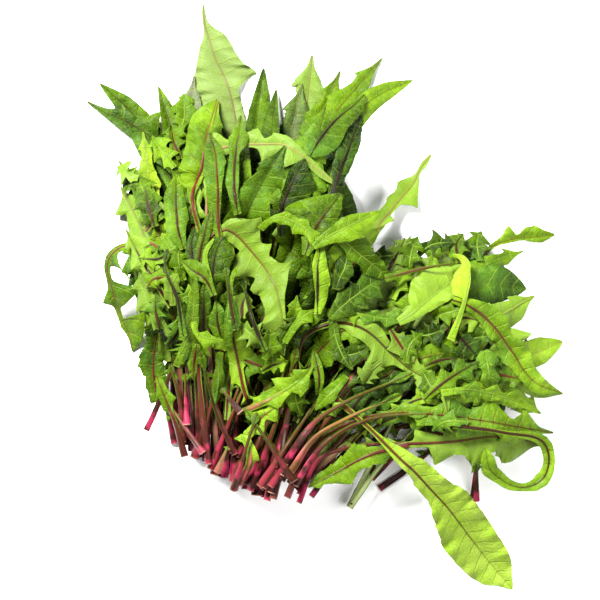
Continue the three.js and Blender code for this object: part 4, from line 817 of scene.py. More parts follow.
def outline(plan, blade_length, draw):
    """The blade's knots from base (0) to tip (1): for each side half width, how far back, and if pointed."""
    cut = CUTS[plan["cut"]]
    fullest, depth = cut["fullest"], cut["depth"]
    half = plan["width"] / 2

    def fullness(u):
        if u < fullest:
            return lerp(BASE_SHARE, 1, math.sin(math.pi / 2 * (u / fullest)))
        return max(math.cos(math.pi / 2 * ((u - fullest) / (1 - fullest))), 0) ** TIP_FULLNESS

    def point(u, before, share):
        width = half * fullness(u) * share * draw(*POINT_REACH)
        return width, draw(*DRAWN_BACK) * (u - before) * blade_length, True

    def notch(u):
        return half * fullness(u) * (1 - depth * draw(*NOTCH_REACH)), 0.0, False

    tip = (1.0, (TIP_HALF_WIDTH, 0.0, False), (TIP_HALF_WIDTH, 0.0, False))
    if depth == 0:
        return [(u, notch(u), notch(u)) for u in ENTIRE_KNOTS] + [tip]
    end = cut["end"]
    steps = 2 * max(2, math.floor(blade_length * end / cut["cell"] + 0.5))
    knots = []
    for k in range(steps + 1):
        off = draw(-UNEVEN, UNEVEN) if 0 < k < steps else 0
        u = end * (k + off) / steps
        sides = [point(u, end * (k - 1) / steps, 1), notch(u)]
        if k % 2 == 0:
            sides.reverse()
        knots.append((u, *sides))
    shoulder, neck = lerp(end, 1, SHOULDER_AT), lerp(end, 1, NECK_AT)
    knots.append((shoulder, point(shoulder, end, SHOULDER_REACH), point(shoulder, end, SHOULDER_REACH)))
    knots.append((neck, notch(neck), notch(neck)))
    return knots + [tip]


def slant_of(plan, sign, along_blade, along_leaf):
    fold = plan["fold"] * clamp(along_blade / FOLD_FULL_AT, 0, 1)
    roll = plan["roll"] * smoothstep(along_leaf, *ROLL_GROWS)
    return math.radians(clamp(fold - sign * roll, -STEEPEST_HALF, STEEPEST_HALF))


class Leaf:
    """A leaf's stations, from its cut end to its tip: six points each, with z from the rib's height."""

    def __init__(self, plan, draw):
        self.plan = plan
        self.places = []  # s, rib, and for each side the way over to the margin, its slant, rise and pointed
        if plan["rows"]:
            self.trace(draw)
        else:
            self.rule(draw)
        self.s = np.array([place[0] for place in self.places])
        self.points = np.array([self.section(*place) for place in self.places])

    def lay_stalk(self, route):
        steps = math.ceil(self.blade_start / STALK_STEP)
        for k in range(steps):
            s = self.blade_start * k / steps
            half = lerp(STALK_HALF_WIDTH, TIP_HALF_WIDTH, s / self.length)
            side = to_the_right(route.ahead(s)) * half
            self.places.append((s, route.at(s), [(-side, 0.0, 0.0, False), (side, 0.0, 0.0, False)]))

    def rule(self, draw):
        plan = self.plan
        route = Route([on_sheet(x, y) for x, y in plan["route"]])
        self.length = route.length
        self.blade_start = plan["stalk"] * self.length
        blade_length = self.length - self.blade_start
        phases = [draw(0, TAU), draw(0, TAU)]
        knots = outline(plan, blade_length, draw)
        self.lay_stalk(route)
        for u, *sides in knots:
            s = min(self.blade_start + u * blade_length, self.length)
            ahead = route.ahead(s)
            entering = route.ahead(max(s - BEND_REACH, 0))
            leaving = route.ahead(min(s + BEND_REACH, self.length))
            turning = (entering[0] * leaving[1] - entering[1] * leaving[0]) / (2 * BEND_REACH)
            rib_half = lerp(STALK_HALF_WIDTH, TIP_HALF_WIDTH, s / self.length)
            margins = []
            for sign, (drawn, back, pointed), phase in zip((LEFT, RIGHT), sides, phases):
                room = TIGHTEST / max(-sign * turning, STRAIGHT)
                width = max(min(drawn, room), rib_half)
                slant = slant_of(plan, sign, u, s / self.length)
                over = to_the_right(ahead) * (sign * width * math.cos(slant))
                if width > rib_half:
                    over = over - ahead * back
                wave = WAVE_HEIGHT * width * math.sin(TAU * WAVES_ALONG * u + phase)
                margins.append((over, slant, width * math.sin(slant) + wave, pointed))
            self.places.append((s, route.at(s), margins))

    def trace(self, draw):
        plan = self.plan
        rows = plan["rows"]
        ribs = [on_sheet(*row[:2]) for row in rows]
        route = Route([on_sheet(x, y) for x, y in plan["route"]] + [ribs[0]])
        self.blade_start = route.length
        steps = [0.0] + [np.hypot(*(b - a)) for a, b in zip(ribs, ribs[1:])]
        self.length = self.blade_start + sum(steps)
        phases = [draw(0, TAU), draw(0, TAU)]
        self.lay_stalk(route)
        reach = [[0.0 if len(row) == 2 else np.hypot(*(on_sheet(row[2 + 2 * k], row[3 + 2 * k]) - rib))
                  for row, rib in zip(rows, ribs)] for k in range(2)]
        s = self.blade_start
        for i, row in enumerate(rows):
            s += steps[i]
            u = (s - self.blade_start) / (self.length - self.blade_start)
            ahead = ribs[min(i + 1, len(ribs) - 1)] - ribs[max(i - 1, 0)]
            ahead = ahead / np.hypot(*ahead)
            margins = []
            for k, sign in enumerate((LEFT, RIGHT)):
                over = to_the_right(ahead) * (sign * TIP_HALF_WIDTH)
                if len(row) > 2:
                    over = on_sheet(row[2 + 2 * k], row[3 + 2 * k]) - ribs[i]
                far = np.hypot(*over)
                slant = slant_of(plan, sign, u, s / self.length)
                wave = WAVE_HEIGHT * far * math.sin(TAU * WAVES_ALONG * u + phases[k])
                beside = max(reach[k][max(i - 1, 0)], reach[k][min(i + 1, len(rows) - 1)])
                pointed = far > TOOTH_STANDS_OUT * beside
                margins.append((over, slant, far * math.tan(slant) + wave, pointed))
            self.places.append((s, ribs[i], margins))

    def rib_depths(self, s):
        """How far the rib reaches above and below the middle of the leaf."""
        edge = lerp(STALK_EDGE_THICKNESS, BLADE_THICKNESS, clamp(s / self.blade_start, 0, 1)) / 2
        depth = lerp(RIB_DEPTH_AT_CUT, RIB_DEPTH_AT_TIP, s / self.length)
        crest = CREST_SHARE * depth
        upper, lower = (depth, crest) if self.plan["turned"] else (crest, depth)
        return np.maximum(upper, edge), np.maximum(lower, edge), edge

    def section(self, s, rib, margins):
        upper, lower, edge = self.rib_depths(s)

        def margin(side, offset):
            over, slant, rise, _ = side
            level = rib + over - over / np.hypot(*over) * (offset * math.sin(slant))
            return [*level, rise + offset * math.cos(slant)]

        left, right = margins
        return [margin(left, edge), [*rib, upper], margin(right, edge),
                margin(right, -edge), [*rib, -lower], margin(left, -edge)]


# Triangles of a strip between two stations, as (station step, point) corners.
UPPER_SIDE = (
    ((0, 0), (0, 1), (1, 0)), ((0, 1), (1, 1), (1, 0)),
    ((0, 1), (0, 2), (1, 2)), ((0, 1), (1, 2), (1, 1)),
)
LOWER_SIDE = (
    ((0, 5), (1, 5), (0, 4)), ((0, 4), (1, 5), (1, 4)),
    ((0, 4), (1, 3), (0, 3)), ((0, 4), (1, 4), (1, 3)),
)


def spread_weights(n):
    """Weights of points spread evenly over a triangle whose sides are cut in n."""
    p, q = np.meshgrid(np.arange(n + 1), np.arange(n + 1), indexing="ij")
    inside = p + q <= n
    p, q = p[inside], q[inside]
    return np.column_stack([p, q, n - p - q]) / n


WEIGHTS = {}


def feel(points, side):
    """Points spread over one side of a leaf: x, y, z, their strip, and their share of the way across it."""
    found = []
    for i in range(len(points) - 1):
        for corners in side:
            a, b, c = (points[i + step][k] for step, k in corners)
            longest = max(np.linalg.norm(a - b), np.linalg.norm(b - c), np.linalg.norm(c - a))
            n = max(1, math.ceil(longest / SAMPLE))
            if n not in WEIGHTS:
                WEIGHTS[n] = spread_weights(n)
            weights = WEIGHTS[n]
            steps = np.array([step for step, _ in corners], float)
            strip = np.full(len(weights), i)
            found.append(np.column_stack([weights @ np.array([a, b, c]), strip, weights @ steps]))
    return np.concatenate(found).T


class HeightMap:
    """How high the heap reaches so far, seen from above."""

    def __init__(self, cell):
        self.cell = cell
        self.cells = math.ceil(2 * SPREAD / cell)
        self.top = np.zeros((self.cells, self.cells))

    def cell_of(self, v):
        return clamp(np.floor((v + SPREAD) / self.cell).astype(int), 1, self.cells - 2)

    def under(self, x, y):
        i, j = self.cell_of(x), self.cell_of(y)
        top = self.top[j, i]
        for up in (-1, 0, 1):
            for across in (-1, 0, 1):
                top = np.maximum(top, self.top[j + up, i + across])
        return top

    def raise_to(self, x, y, z):
        np.maximum.at(self.top, (self.cell_of(y), self.cell_of(x)), z)


def settle(heap, laid, foot_at_least=0.0):
    """The height of the rib at each station of a leaf that sinks onto the heap until it rests there."""
    x, y, z, strip, share = feel(laid.points, LOWER_SIDE)
    strip = strip.astype(int)
    need = heap.under(x, y) + CLEARANCE - z
    last = len(laid.s) - 1
    height = np.zeros(last + 1)
    np.maximum.at(height, strip, need)
    np.maximum.at(height, strip + 1, need)
    height[0] = max(height[0], foot_at_least)
    needs = [(need[strip == i], share[strip == i]) for i in range(last)]
    ahead_of = [(n[t < 1] / (1 - t[t < 1]), t[t < 1] / (1 - t[t < 1])) for n, t in needs]
    behind = [(n[t > 0] / t[t > 0], (1 - t[t > 0]) / t[t > 0]) for n, t in needs]
    apart = np.diff(laid.s)
    sag = lerp(STALK_SAG, BLADE_SAG, laid.s / laid.s[-1])

    def clear(i):
        lowest = foot_at_least if i == 0 else 0.0
        if i < last:
            base, pull = ahead_of[i]
            lowest = max(lowest, (base - pull * height[i + 1]).max())
        if i > 0:
            base, pull = behind[i - 1]
            lowest = max(lowest, (base - pull * height[i - 1]).max())
        return lowest

    def supple(i):
        lowest = 0.0
        if i > 0:
            lowest = max(lowest, height[i - 1] - STEEPEST_SLOPE * apart[i - 1])
        if i < last:
            lowest = max(lowest, height[i + 1] - STEEPEST_SLOPE * apart[i])
        if 0 < i < last:
            before, after = apart[i - 1], apart[i]
            straight = (height[i - 1] * after + height[i + 1] * before) / (before + after)
            lowest = max(lowest, straight - sag[i] * before * after)
        return lowest

    for _ in range(SETTLING_ROUNDS):
        for i in [*range(last + 1), *range(last, -1, -1)]:
            height[i] = max(height[i], supple(i))
    for _ in range(SINKING_ROUNDS):
        for i in range(last + 1):
            lowest = max(clear(i), supple(i))
            height[i] = max(min(lowest, height[i]), height[i] - SINKING_STEP)
    return height


def along(line, t):
    """A point at share t along a line of sheet points."""
    place = clamp(t, 0, 1) * (len(line) - 1)
    i = min(math.floor(place), len(line) - 2)
    return [lerp(line[i][k], line[i + 1][k], place - i) for k in range(2)]


def fan_sprigs(fan):
    """The rule for the lower heap: pairs spread over the fan in a shuffled order, inside its tips."""
    draw = draws_from(fan["seed"])
    sprigs = []
    for k in range(fan["sprigs"]):
        share = (k * FAN_SHUFFLE % fan["sprigs"] + draw(*FAN_IN_CELL)) / fan["sprigs"]
        entering = draw(*fan["set_in"])
        inside = along(fan["waist"], share)
        foot = [lerp(v, w, entering) + draw(-FAN_FOOT_STRAY, FAN_FOOT_STRAY)
                for v, w in zip(along(fan["feet"], share), inside)]
        leaves = []
        for side in (LEFT, RIGHT):
            t = share + side * FAN_PAIR_SPREAD + draw(-FAN_TIP_STRAY, FAN_TIP_STRAY)
            t = clamp(t, FAN_EDGE, 1 - FAN_EDGE)
            through = [v + draw(-FAN_WAIST_STRAY, FAN_WAIST_STRAY) for v in along(fan["waist"], t)]
            tip = [lerp(v, far, draw(*fan["reach"])) for v, far in zip(through, along(fan["tips"], t))]
            middle = [lerp(v, far, 0.5) + draw(-FAN_MIDDLE_STRAY, FAN_MIDDLE_STRAY)
                      for v, far in zip(through, tip)]
            entry = [lerp(v, w, 0.5) for v, w in zip(foot, through)]
            cut = FAN_CUTS[math.floor(draw(0, len(FAN_CUTS)))]
            sizes = [draw(*FAN_WIDTH), draw(*FAN_STALK), draw(*FAN_FOLD), draw(*FAN_ROLL)]
            leaves.append(leaf(cut, *sizes, [foot, entry, through, middle, tip]))
        sprigs.append((f"{fan['name']}_{k + 1}", leaves))
    return sprigs


def lay_loose(heap, plan, draw):
    """A leaf laid on the heap as it is so far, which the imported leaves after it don't feel."""
    laid = Leaf(plan, draw)
    laid.height = settle(heap, laid)
    laid.points[:, :, 2] += laid.height[:, None]
    return laid


def lay_sprigs(heap, sprigs, draw, after_each=None):
    """Lays each sprig's leaves on the heap in turn, and returns them by the sprig's name."""
    laid = {}
    for k, (name, plans) in enumerate(sprigs):
        leaves = [Leaf(plan, draw) for plan in plans]
        foot = settle(heap, leaves[-1])[0] if len(leaves) > 1 else 0.0
        for each in leaves:
            each.height = settle(heap, each, foot)
            each.points[:, :, 2] += each.height[:, None]
            x, y, z, _, _ = feel(each.points, UPPER_SIDE)
            heap.raise_to(x, y, z)
            foot = each.height[0]
        laid[name] = leaves
        if after_each:
            after_each(k)
    return laid


def short_route(x, y, step, bend):
    """A way that runs a step before and after a point, and is bent a little aside there."""
    return [[x - step[0], y - step[1]], [x + bend, y + bend], [x + step[0], y + step[1]]]


def fill_leaves():
    """The rule for the small leaves: each lies anywhere in its fan, pointing roughly outwards."""
    draw = draws_from(FILL_SEED)
    found = []
    for fan in FILL:
        for k in range(fan["count"]):
            t = draw(*FILL_ACROSS)
            low, high = along(fan["feet"], t), along(fan["tips"], t)
            middle = [lerp(a, b, v) for a, b, v in zip(low, high, [draw(*fan["along"])] * 2)]
            heading = math.atan2(high[1] - low[1], high[0] - low[0]) + draw(-FILL_ASIDE, FILL_ASIDE)
            reach = draw(*FILL_LENGTH) / SHEET_STEP / 2
            step = math.cos(heading) * reach, math.sin(heading) * reach
            bend = draw(*FILL_BEND)
            route = short_route(*middle, step, bend)
            cut = FILL_CUTS[math.floor(draw(0, len(FILL_CUTS)))]
            sizes = [draw(*FILL_WIDTH), draw(*FILL_STALK), draw(*FILL_FOLD), draw(*FILL_TURN)]
            tone, hue = draw(*FILL_TONE), FILL_HUES[math.floor(draw(0, len(FILL_HUES)))]
            look = tone, hue, draw(*FILL_BLUSH), 0
            found.append((f"{fan['name']}_{k + 1}", look, leaf(cut, *sizes, route, draw() < FILL_TURNED)))
    order = sorted(range(len(found)), key=lambda k: k * FILL_SHUFFLE % len(found))
    return [found[k] for k in order]


def bare_stalks():
    """The rule for the thin stalks: each runs from a cut end up into the leaves."""
    draw = draws_from(STALKS["seed"])
    found = []
    for k in range(STALKS["count"]):
        t = draw()
        foot = [v + draw(*STALK_STRAY) for v in along(STALKS["feet"], t)]
        t = clamp(t + draw(*STALK_TIP_STRAY), 0, 1)
        end = [v + draw(*STALK_END_STRAY) for v in along(STALKS["ends"], t)]
        middle = [lerp(a, b, 0.5) + draw(*STALK_STRAY) for a, b in zip(foot, end)]
        hue = STALK_HUES[math.floor(draw(0, len(STALK_HUES)))]
        tone, blush = STALK_LOOK
        plan = bare(draw(*STALK_WIDTH), STALK_BARE, STALK_FOLD, [foot, middle, end])
        found.append((f"stalk_{k + 1}", (tone, hue, blush, 0), plan))
    return found


def mingled(many, few):
    """Both lists in one, with the shorter spread evenly through the longer."""
    places = [(k / len(many), each) for k, each in enumerate(many)]
    places += [((k + 0.5) / len(few), each) for k, each in enumerate(few)]
    return [each for _, each in sorted(places, key=lambda place: place[0])]


def jagged_leaves():
    """The small leaves over the heap, each grown at its place by rule."""
    draw = draws_from(JAGGED_SEED)
    found = []
    for k, (x, y, heading, length, tone) in enumerate(JAGGED):
        turn = math.radians(heading)
        step = math.cos(turn) * length / 2, -math.sin(turn) * length / 2
        bend = draw(*JAGGED_BEND)
        route = short_route(x, y, step, bend)
        cut = JAGGED_CUTS[k % len(JAGGED_CUTS)]
        sizes = [draw(*JAGGED_WIDTH), draw(*JAGGED_STALK), draw(*JAGGED_FOLD), draw(*FILL_TURN)]
        turned = k % JAGGED_TURNED == JAGGED_TURNED - 2
        plan = leaf(cut, *sizes, route, turned)
        found.append((f"jagged_{k + 1}", tone, JAGGED_HUES[k % len(JAGGED_HUES)], plan))
    return found


def slopes(x, y):
    """Slopes at knots for a smooth curve that never overshoots them."""
    step = np.diff(y, axis=0) / np.diff(x)[:, None]
    before, after = step[:-1], step[1:]
    same_way = before * after > 0
    total = np.where(same_way, before + after, 1)
    inner = np.where(same_way, 2 * before * after / total, 0)
    return np.concatenate([step[:1], inner, step[-1:]])


def slopes_round(x, y):
    """Slopes at knots for a smooth curve that turns evenly through them."""
    step = np.diff(y, axis=0) / np.diff(x)[:, None]
    apart = np.diff(x)[:, None]
    inner = (step[:-1] * apart[1:] + step[1:] * apart[:-1]) / (apart[1:] + apart[:-1])
    return np.concatenate([step[:1], inner, step[-1:]])


def through(x, y, leaving, arriving, at):
    """A curve through knots x, y at the places asked for, with its slopes on leaving and on reaching each."""
    i = np.clip(np.searchsorted(x, at, side="right") - 1, 0, len(x) - 2)
    apart = (x[i + 1] - x[i])[:, None]
    t = (at - x[i])[:, None] / apart
    start, end = leaving[i] * apart, arriving[i + 1] * apart
    rise = t * t * (3 - 2 * t)
    return y[i] * (1 - rise) + y[i + 1] * rise + start * t * (1 - t) ** 2 - end * t * t * (1 - t)


def smooth_through(x, y, at):
    slope = slopes(x, y)
    return through(x, y, slope, slope, at)


def rib_radius(share, swell):
    return lerp(*RIB_RADIUS, share) + swell * np.exp(-FOOT_FADES * share)


class Margin:
    """One side of a fine leaf: at each knot, how far its margin lies ahead of the rib, across and above."""

    def __init__(self, laid, k, ahead, draw):
        knots = []
        for forward, (s, _, margins) in zip(ahead, laid.places):
            over, _, rise, pointed = margins[k]
            across = abs(over @ to_the_right(forward))
            rib = rib_radius(s / laid.length, laid.swell)
            if s < laid.blade_start:
                across = lerp(across, rib + WING, WINGED)
            elif not pointed:
                across -= max(across - rib, 0) * (1 - NOTCH_DEEPER[laid.plan["cut"]])
            knots.append((s, over @ forward, across, rise, pointed))
        if laid.ears:
            knots += self.ears(laid, draw)
        knots.sort(key=lambda knot: knot[0])
        self.s = np.array([knot[0] for knot in knots])
        self.values = np.array([knot[1:4] for knot in knots], float)
        slope = slopes(self.s, self.values)
        self.leaving, self.arriving = slope.copy(), slope.copy()
        chord = np.diff(self.values, axis=0) / np.diff(self.s)[:, None]
        for i, knot in enumerate(knots[:-1]):
            if knot[4] and i > 0:
                self.arriving[i] = chord[i - 1] * POINT_ARRIVES
                self.leaving[i] = chord[i] * POINT_LEAVES
        self.arriving[-1] = chord[-1] * TIP_ARRIVES

    def ears(self, laid, draw):
        """Small leaflets along the upper part of a bare stalk, larger towards the blade."""
        found = []
        s = laid.blade_start * EARS_FROM
        while True:
            s += draw(*EAR_GAP)
            long = draw(*EAR_LENGTH)
            if s + long > laid.blade_start - EARS_STOP_SHORT:
                return found
            grown = s / laid.blade_start
            half = rib_radius(s / laid.length, laid.swell) + WING
            reach = half + lerp(*EAR_REACH, grown) * draw(*EAR_UNEVEN)
            back, rise = -draw(*EAR_DRAWN_BACK) * reach, draw(*EAR_RISE)
            found.append((s, 0.0, half, 0.0, False))
            found.append((s + long * EAR_POINT_AT, back, reach, rise, True))
            found.append((s + long, 0.0, half, 0.0, False))

    def at(self, s):
        return through(self.s, self.values, self.leaving, self.arriving, s)


def merged(places, closest):
    """The places in order, without those that lie too close after another."""
    kept = []
    for s in sorted(places):
        if not kept or s - kept[-1] >= closest:
            kept.append(s)
    return kept


def small_teeth(rows, draw):
    """How far each row's margin stands out, from 0 to 1: teeth over a few rows each, pointing back."""
    out = []
    while len(out) < rows:
        count = int(draw(*TOOTH_ROWS))
        size = draw(*TOOTH_SIZE)
        out += [size * (1 - k / count) for k in range(count)]
    return np.array(out[:rows])


def beside(grid):
    """A grid of points with its eight shifts by one row and column, its edges repeated."""
    rows, columns = grid.shape
    padded = np.pad(grid, 1, mode="edge")
    return [padded[i:i + rows, j:j + columns] for i in range(3) for j in range(3)]


def finer(grid):
    """The grid with points added between its own, to a third of its spacing."""
    for axis in range(2):
        grid = np.moveaxis(grid, axis, 0)
        parts = [lerp(grid[:-1], grid[1:], k / FINE_SPREAD) for k in range(FINE_SPREAD)]
        grid = np.stack(parts, axis=1).reshape(-1, grid.shape[1])
        grid = np.moveaxis(grid, 0, axis)
    return grid.ravel()


class FineLeaf:
    """A leaf as a grid of points, rows from its cut end to its tip and columns from left to right, in mm."""

    def __init__(self, laid, look, draw, row_step, style, slender=False):
        self.laid, self.look, self.turned = laid, look, laid.plan["turned"]
        laid.swell = draw(*FOOT_SWELLS)
        ribs = np.array([place[1] for place in laid.places])
        heading = slopes_round(laid.s, ribs)
        forward = heading / np.linalg.norm(heading, axis=1)[:, None]
        sides = [Margin(laid, k, forward, draw) for k in range(2)]
        self.s = s = self.rows(sides, row_step)
        self.share = s / laid.length
        self.ribs = through(laid.s, ribs, heading, heading, s)
        self.height = smooth_through(laid.s, laid.height[:, None], s)[:, 0]
        ahead = np.gradient(self.ribs, s, axis=0)
        self.ahead = ahead / np.linalg.norm(ahead, axis=1)[:, None]
        thinner = SLENDER_RIBS[look[1] != CELADON] if slender else 1
        self.depth = lerp(RIB_DEPTH_AT_CUT, RIB_DEPTH_AT_TIP, self.share) * thinner
        self.radius = rib_radius(self.share, laid.swell)
        if slender:
            self.radius = np.minimum(self.radius, thinner) * smoothstep(self.share, *SLENDER_GROWS)
        halves = [self.half(sign, side, draw, style) for sign, side in zip((LEFT, RIGHT), sides)]
        for key in halves[0]:
            setattr(self, key, np.hstack([halves[0][key][:, :0:-1], halves[1][key]]))

    def rows(self, sides, row_step):
        """Where along the leaf its rows lie: at each station and knot, and evenly between."""
        laid = self.laid
        places = set(laid.s)
        for a, b in zip(laid.s, laid.s[1:]):
            on_stalk = b <= laid.blade_start + SAME_STATION
            step = STALK_ROW_STEP if on_stalk else row_step
            if laid.ears and on_stalk and b > laid.blade_start * EARS_FROM:
                step = row_step * EARED_ROWS
            count = max(1, round((b - a) / step))
            places.update(a + (b - a) * j / count for j in range(count))
        for side in sides:
            places.update(side.s)
        s = np.array(merged(places, CLOSEST_ROWS))
        s[-1] = laid.s[-1]
        return s

    def half(self, sign, side, draw, style):
        """The grid from the rib out to one margin: a rounded rib, and a blade that ruffles and hangs."""
        laid, s, radius = self.laid, self.s, self.radius[:, None]
        under = -1 if self.turned else 1
        forward, across, up = side.at(s).T
        across = np.maximum(across, NARROWEST_HALF)
        spare = across - self.radius
        teeth = small_teeth(len(s), draw) * TOOTH_HEIGHT[laid.plan["cut"]] * smoothstep(spare, *TEETH_FROM)
        along_blade = clamp((s - laid.blade_start) / (laid.length - laid.blade_start), 0, 1)
        teeth *= 1 - smoothstep(along_blade, *TEETH_END)
        across = (across + teeth)[:, None]
        forward = (forward - teeth * TOOTH_DRAWN_BACK)[:, None]

        columns = len(RIB_COLUMNS) + BLADE_COLUMNS
        round_stalk = across * np.sin(math.pi / 2 * (np.arange(columns) / (columns - 1)))
        out = np.arange(1, BLADE_COLUMNS + 1) / BLADE_COLUMNS
        on_leaf = np.hstack([radius * np.array(RIB_COLUMNS), radius + (across - radius) * out])
        w = lerp(round_stalk, on_leaf, smoothstep(spare, *BROAD_FROM)[:, None])
        v = w / across
        hump = np.sqrt(np.maximum(0, 1 - (w / radius) ** 2))
        blade = smoothstep(w - radius, *BLADE_FROM)
        ahead, outwards = self.ahead, np.column_stack([self.ahead[:, 1], -self.ahead[:, 0]]) * sign
        x, y = (self.ribs[:, k:k + 1] + (outwards[:, k:k + 1] * across + ahead[:, k:k + 1] * forward) * v
                for k in range(2))

        phase = draw(0, TAU)
        ruffle = np.sin(TAU * s / draw(*RUFFLE_LENGTH) + phase)
        ruffle = ruffle + SMALL_RUFFLE * np.sin(TAU * s / draw(*SMALL_RUFFLE_LENGTH) + phase)
        bulge = np.abs(np.sin(math.pi * ((s[:, None] - VEIN_SWEEP * w) / VEIN_STEP))) - 0.5
        wide = across / WIDE_HALF
        waves = np.minimum(wide, WIDEST_WAVES)
        z = (
            self.height[:, None] + up[:, None] * v
            + style.camber * wide * WIDE_HALF * np.sin(math.pi * v) * blade
            + style.ruffle * ruffle[:, None] * v**2 * waves
            + style.bulge * bulge * blade * under
            - style.droop * v**2 * waves
        )
        z = z - (self.depth * (1 - CREST_SHARE) / 2 * under)[:, None] * hump
        rim = lerp(STALK_RIM, THIN_BLADE, clamp(s / laid.blade_start, 0, 1))
        thick = rim[:, None] + np.maximum(self.depth * (1 + CREST_SHARE) - rim, 0)[:, None] * hump
        return dict(x=x, y=y, z=z, thick=thick, w=sign * w, v=v, rib=w / radius)

    def rest_on(self, heap):
        """Lifts the leaf, smoothly, wherever it would lie in what is below it, and adds it to the heap."""
        need = heap.under(self.x, self.y) + FINE_GAP + self.thick / 2 - self.z
        need = np.maximum(need, 0)
        lift = need
        for _ in range(LIFT_SPREADS):
            lift = np.max(beside(lift), axis=0)
        for _ in range(LIFT_BLURS):
            lift = np.maximum(np.mean(beside(lift), axis=0), need)
        self.z = self.z + lift
        heap.raise_to(*(finer(grid) for grid in (self.x, self.y, self.z + self.thick / 2)))


def set_values(mesh, name, values):
    """Keeps values for a mesh's points: three of them as a vector, four as a colour."""
    values = np.asarray(values, np.float32)
    kind, key = ("FLOAT_COLOR", "color") if values.shape[1] == 4 else ("FLOAT_VECTOR", "vector")
    mesh.attributes.new(name, kind, "POINT").data.foreach_set(key, values.ravel())


def points_of(data, key="co"):
    points = np.empty(len(data) * 3, np.float32)
    data.foreach_get(key, points)
    return points.reshape(-1, 3)


def deselect_all():
    bpy.ops.object.select_all(action="DESELECT")


def leaf_piece(name, fine, shift):
    """A closed leaf from a flat grid, shaped point by point and thickened by a modifier."""
    rows, columns = fine.x.shape
    count = rows * columns
    deselect_all()
    bpy.ops.mesh.primitive_grid_add(x_subdivisions=columns - 1, y_subdivisions=rows - 1, size=2)
    piece = bpy.context.object
    piece.name = name
    mesh = piece.data
    if len(mesh.vertices) != count:
        raise RuntimeError(f"{name}: the grid has {len(mesh.vertices)} points, not {count}")
    flat = points_of(mesh.vertices).round(5)
    order = np.lexsort((flat[:, 0], flat[:, 1]))

    def spread(*grids):
        """The grids' values in the order of the mesh's points."""
        values = np.empty((count, len(grids)))
        values[order] = np.stack([np.broadcast_to(grid, fine.x.shape).ravel() for grid in grids], axis=-1)
        return values

    mesh.vertices.foreach_set("co", ((spread(fine.x, fine.y, fine.z) + shift) * MM).ravel())
    mesh.update()
    tone, hue, blush, yellow = fine.look
    set_values(mesh, "leaf_place", spread(fine.s[:, None], fine.w, fine.v))
    set_values(mesh, "kind", spread(tone, blush, yellow))
    set_values(mesh, "part", spread(fine.rib, 1.0, fine.share[:, None]))
    set_values(mesh, "rib_colour", spread(*hue, fine.foot_red))

    thickest = fine.thick.max()
    group = piece.vertex_groups.new(name="thickness")
    for i, weight in enumerate(spread(fine.thick / thickest)[:, 0].tolist()):
        group.add((i,), weight, "REPLACE")
    solidify = piece.modifiers.new("thickness", "SOLIDIFY")
    solidify.thickness = thickest * MM
    solidify.offset = 0
    solidify.vertex_group = "thickness"
    solidify.thickness_vertex_group = 0
    bpy.ops.object.modifier_apply(modifier=solidify.name)

    height = points_of(mesh.vertices)[:, 2]
    first_is_higher = height[:count] > height[count:]
    upper = np.concatenate([first_is_higher, ~first_is_higher])
    part = points_of(mesh.attributes["part"].data, "vector")
    part[:, 1] = ~upper if fine.turned else upper
    mesh.attributes["part"].data.foreach_set("vector", part.ravel())
    piece.vertex_groups.clear()
    bpy.ops.object.shade_smooth_by_angle(angle=SMOOTH_BELOW)
    return piece


def heel_piece(name, low, high, look, shift):
    """The rounded scrap of crown that holds two leaves together."""
    foot, after = low.points[0, 1], low.points[1, 1]
    inward = after[:2] - foot[:2]
    centre = foot[:2] + inward / np.hypot(*inward) * HEEL_SET_BACK
    bottom, top = low.height[0], high.height[0]
    deselect_all()
    bpy.ops.mesh.primitive_uv_sphere_add(segments=HEEL_SEGMENTS, ring_count=HEEL_RINGS, radius=1)
    piece = bpy.context.object
    piece.name = name
    mesh = piece.data
    points = points_of(mesh.vertices) * [HEEL_RADIUS, HEEL_RADIUS, (top - bottom) / 2 + HEEL_ROUNDING]
    points += [*centre, (top + bottom) / 2]
    mesh.vertices.foreach_set("co", ((points + shift) * MM).ravel())
    mesh.update()
    tone, hue, blush, yellow = look
    ones = np.ones((len(points), 1))
    set_values(mesh, "leaf_place", ones * [[HEEL_ALONG, 0.0, 0.0]])
    set_values(mesh, "kind", ones * [[tone, blush, yellow]])
    set_values(mesh, "part", ones * [[0.0, 1.0, 0.0]])
    set_values(mesh, "rib_colour", ones * [[*hue, 1.0]])
    bpy.ops.object.shade_smooth_by_angle(angle=SMOOTH_BELOW)
    return piece


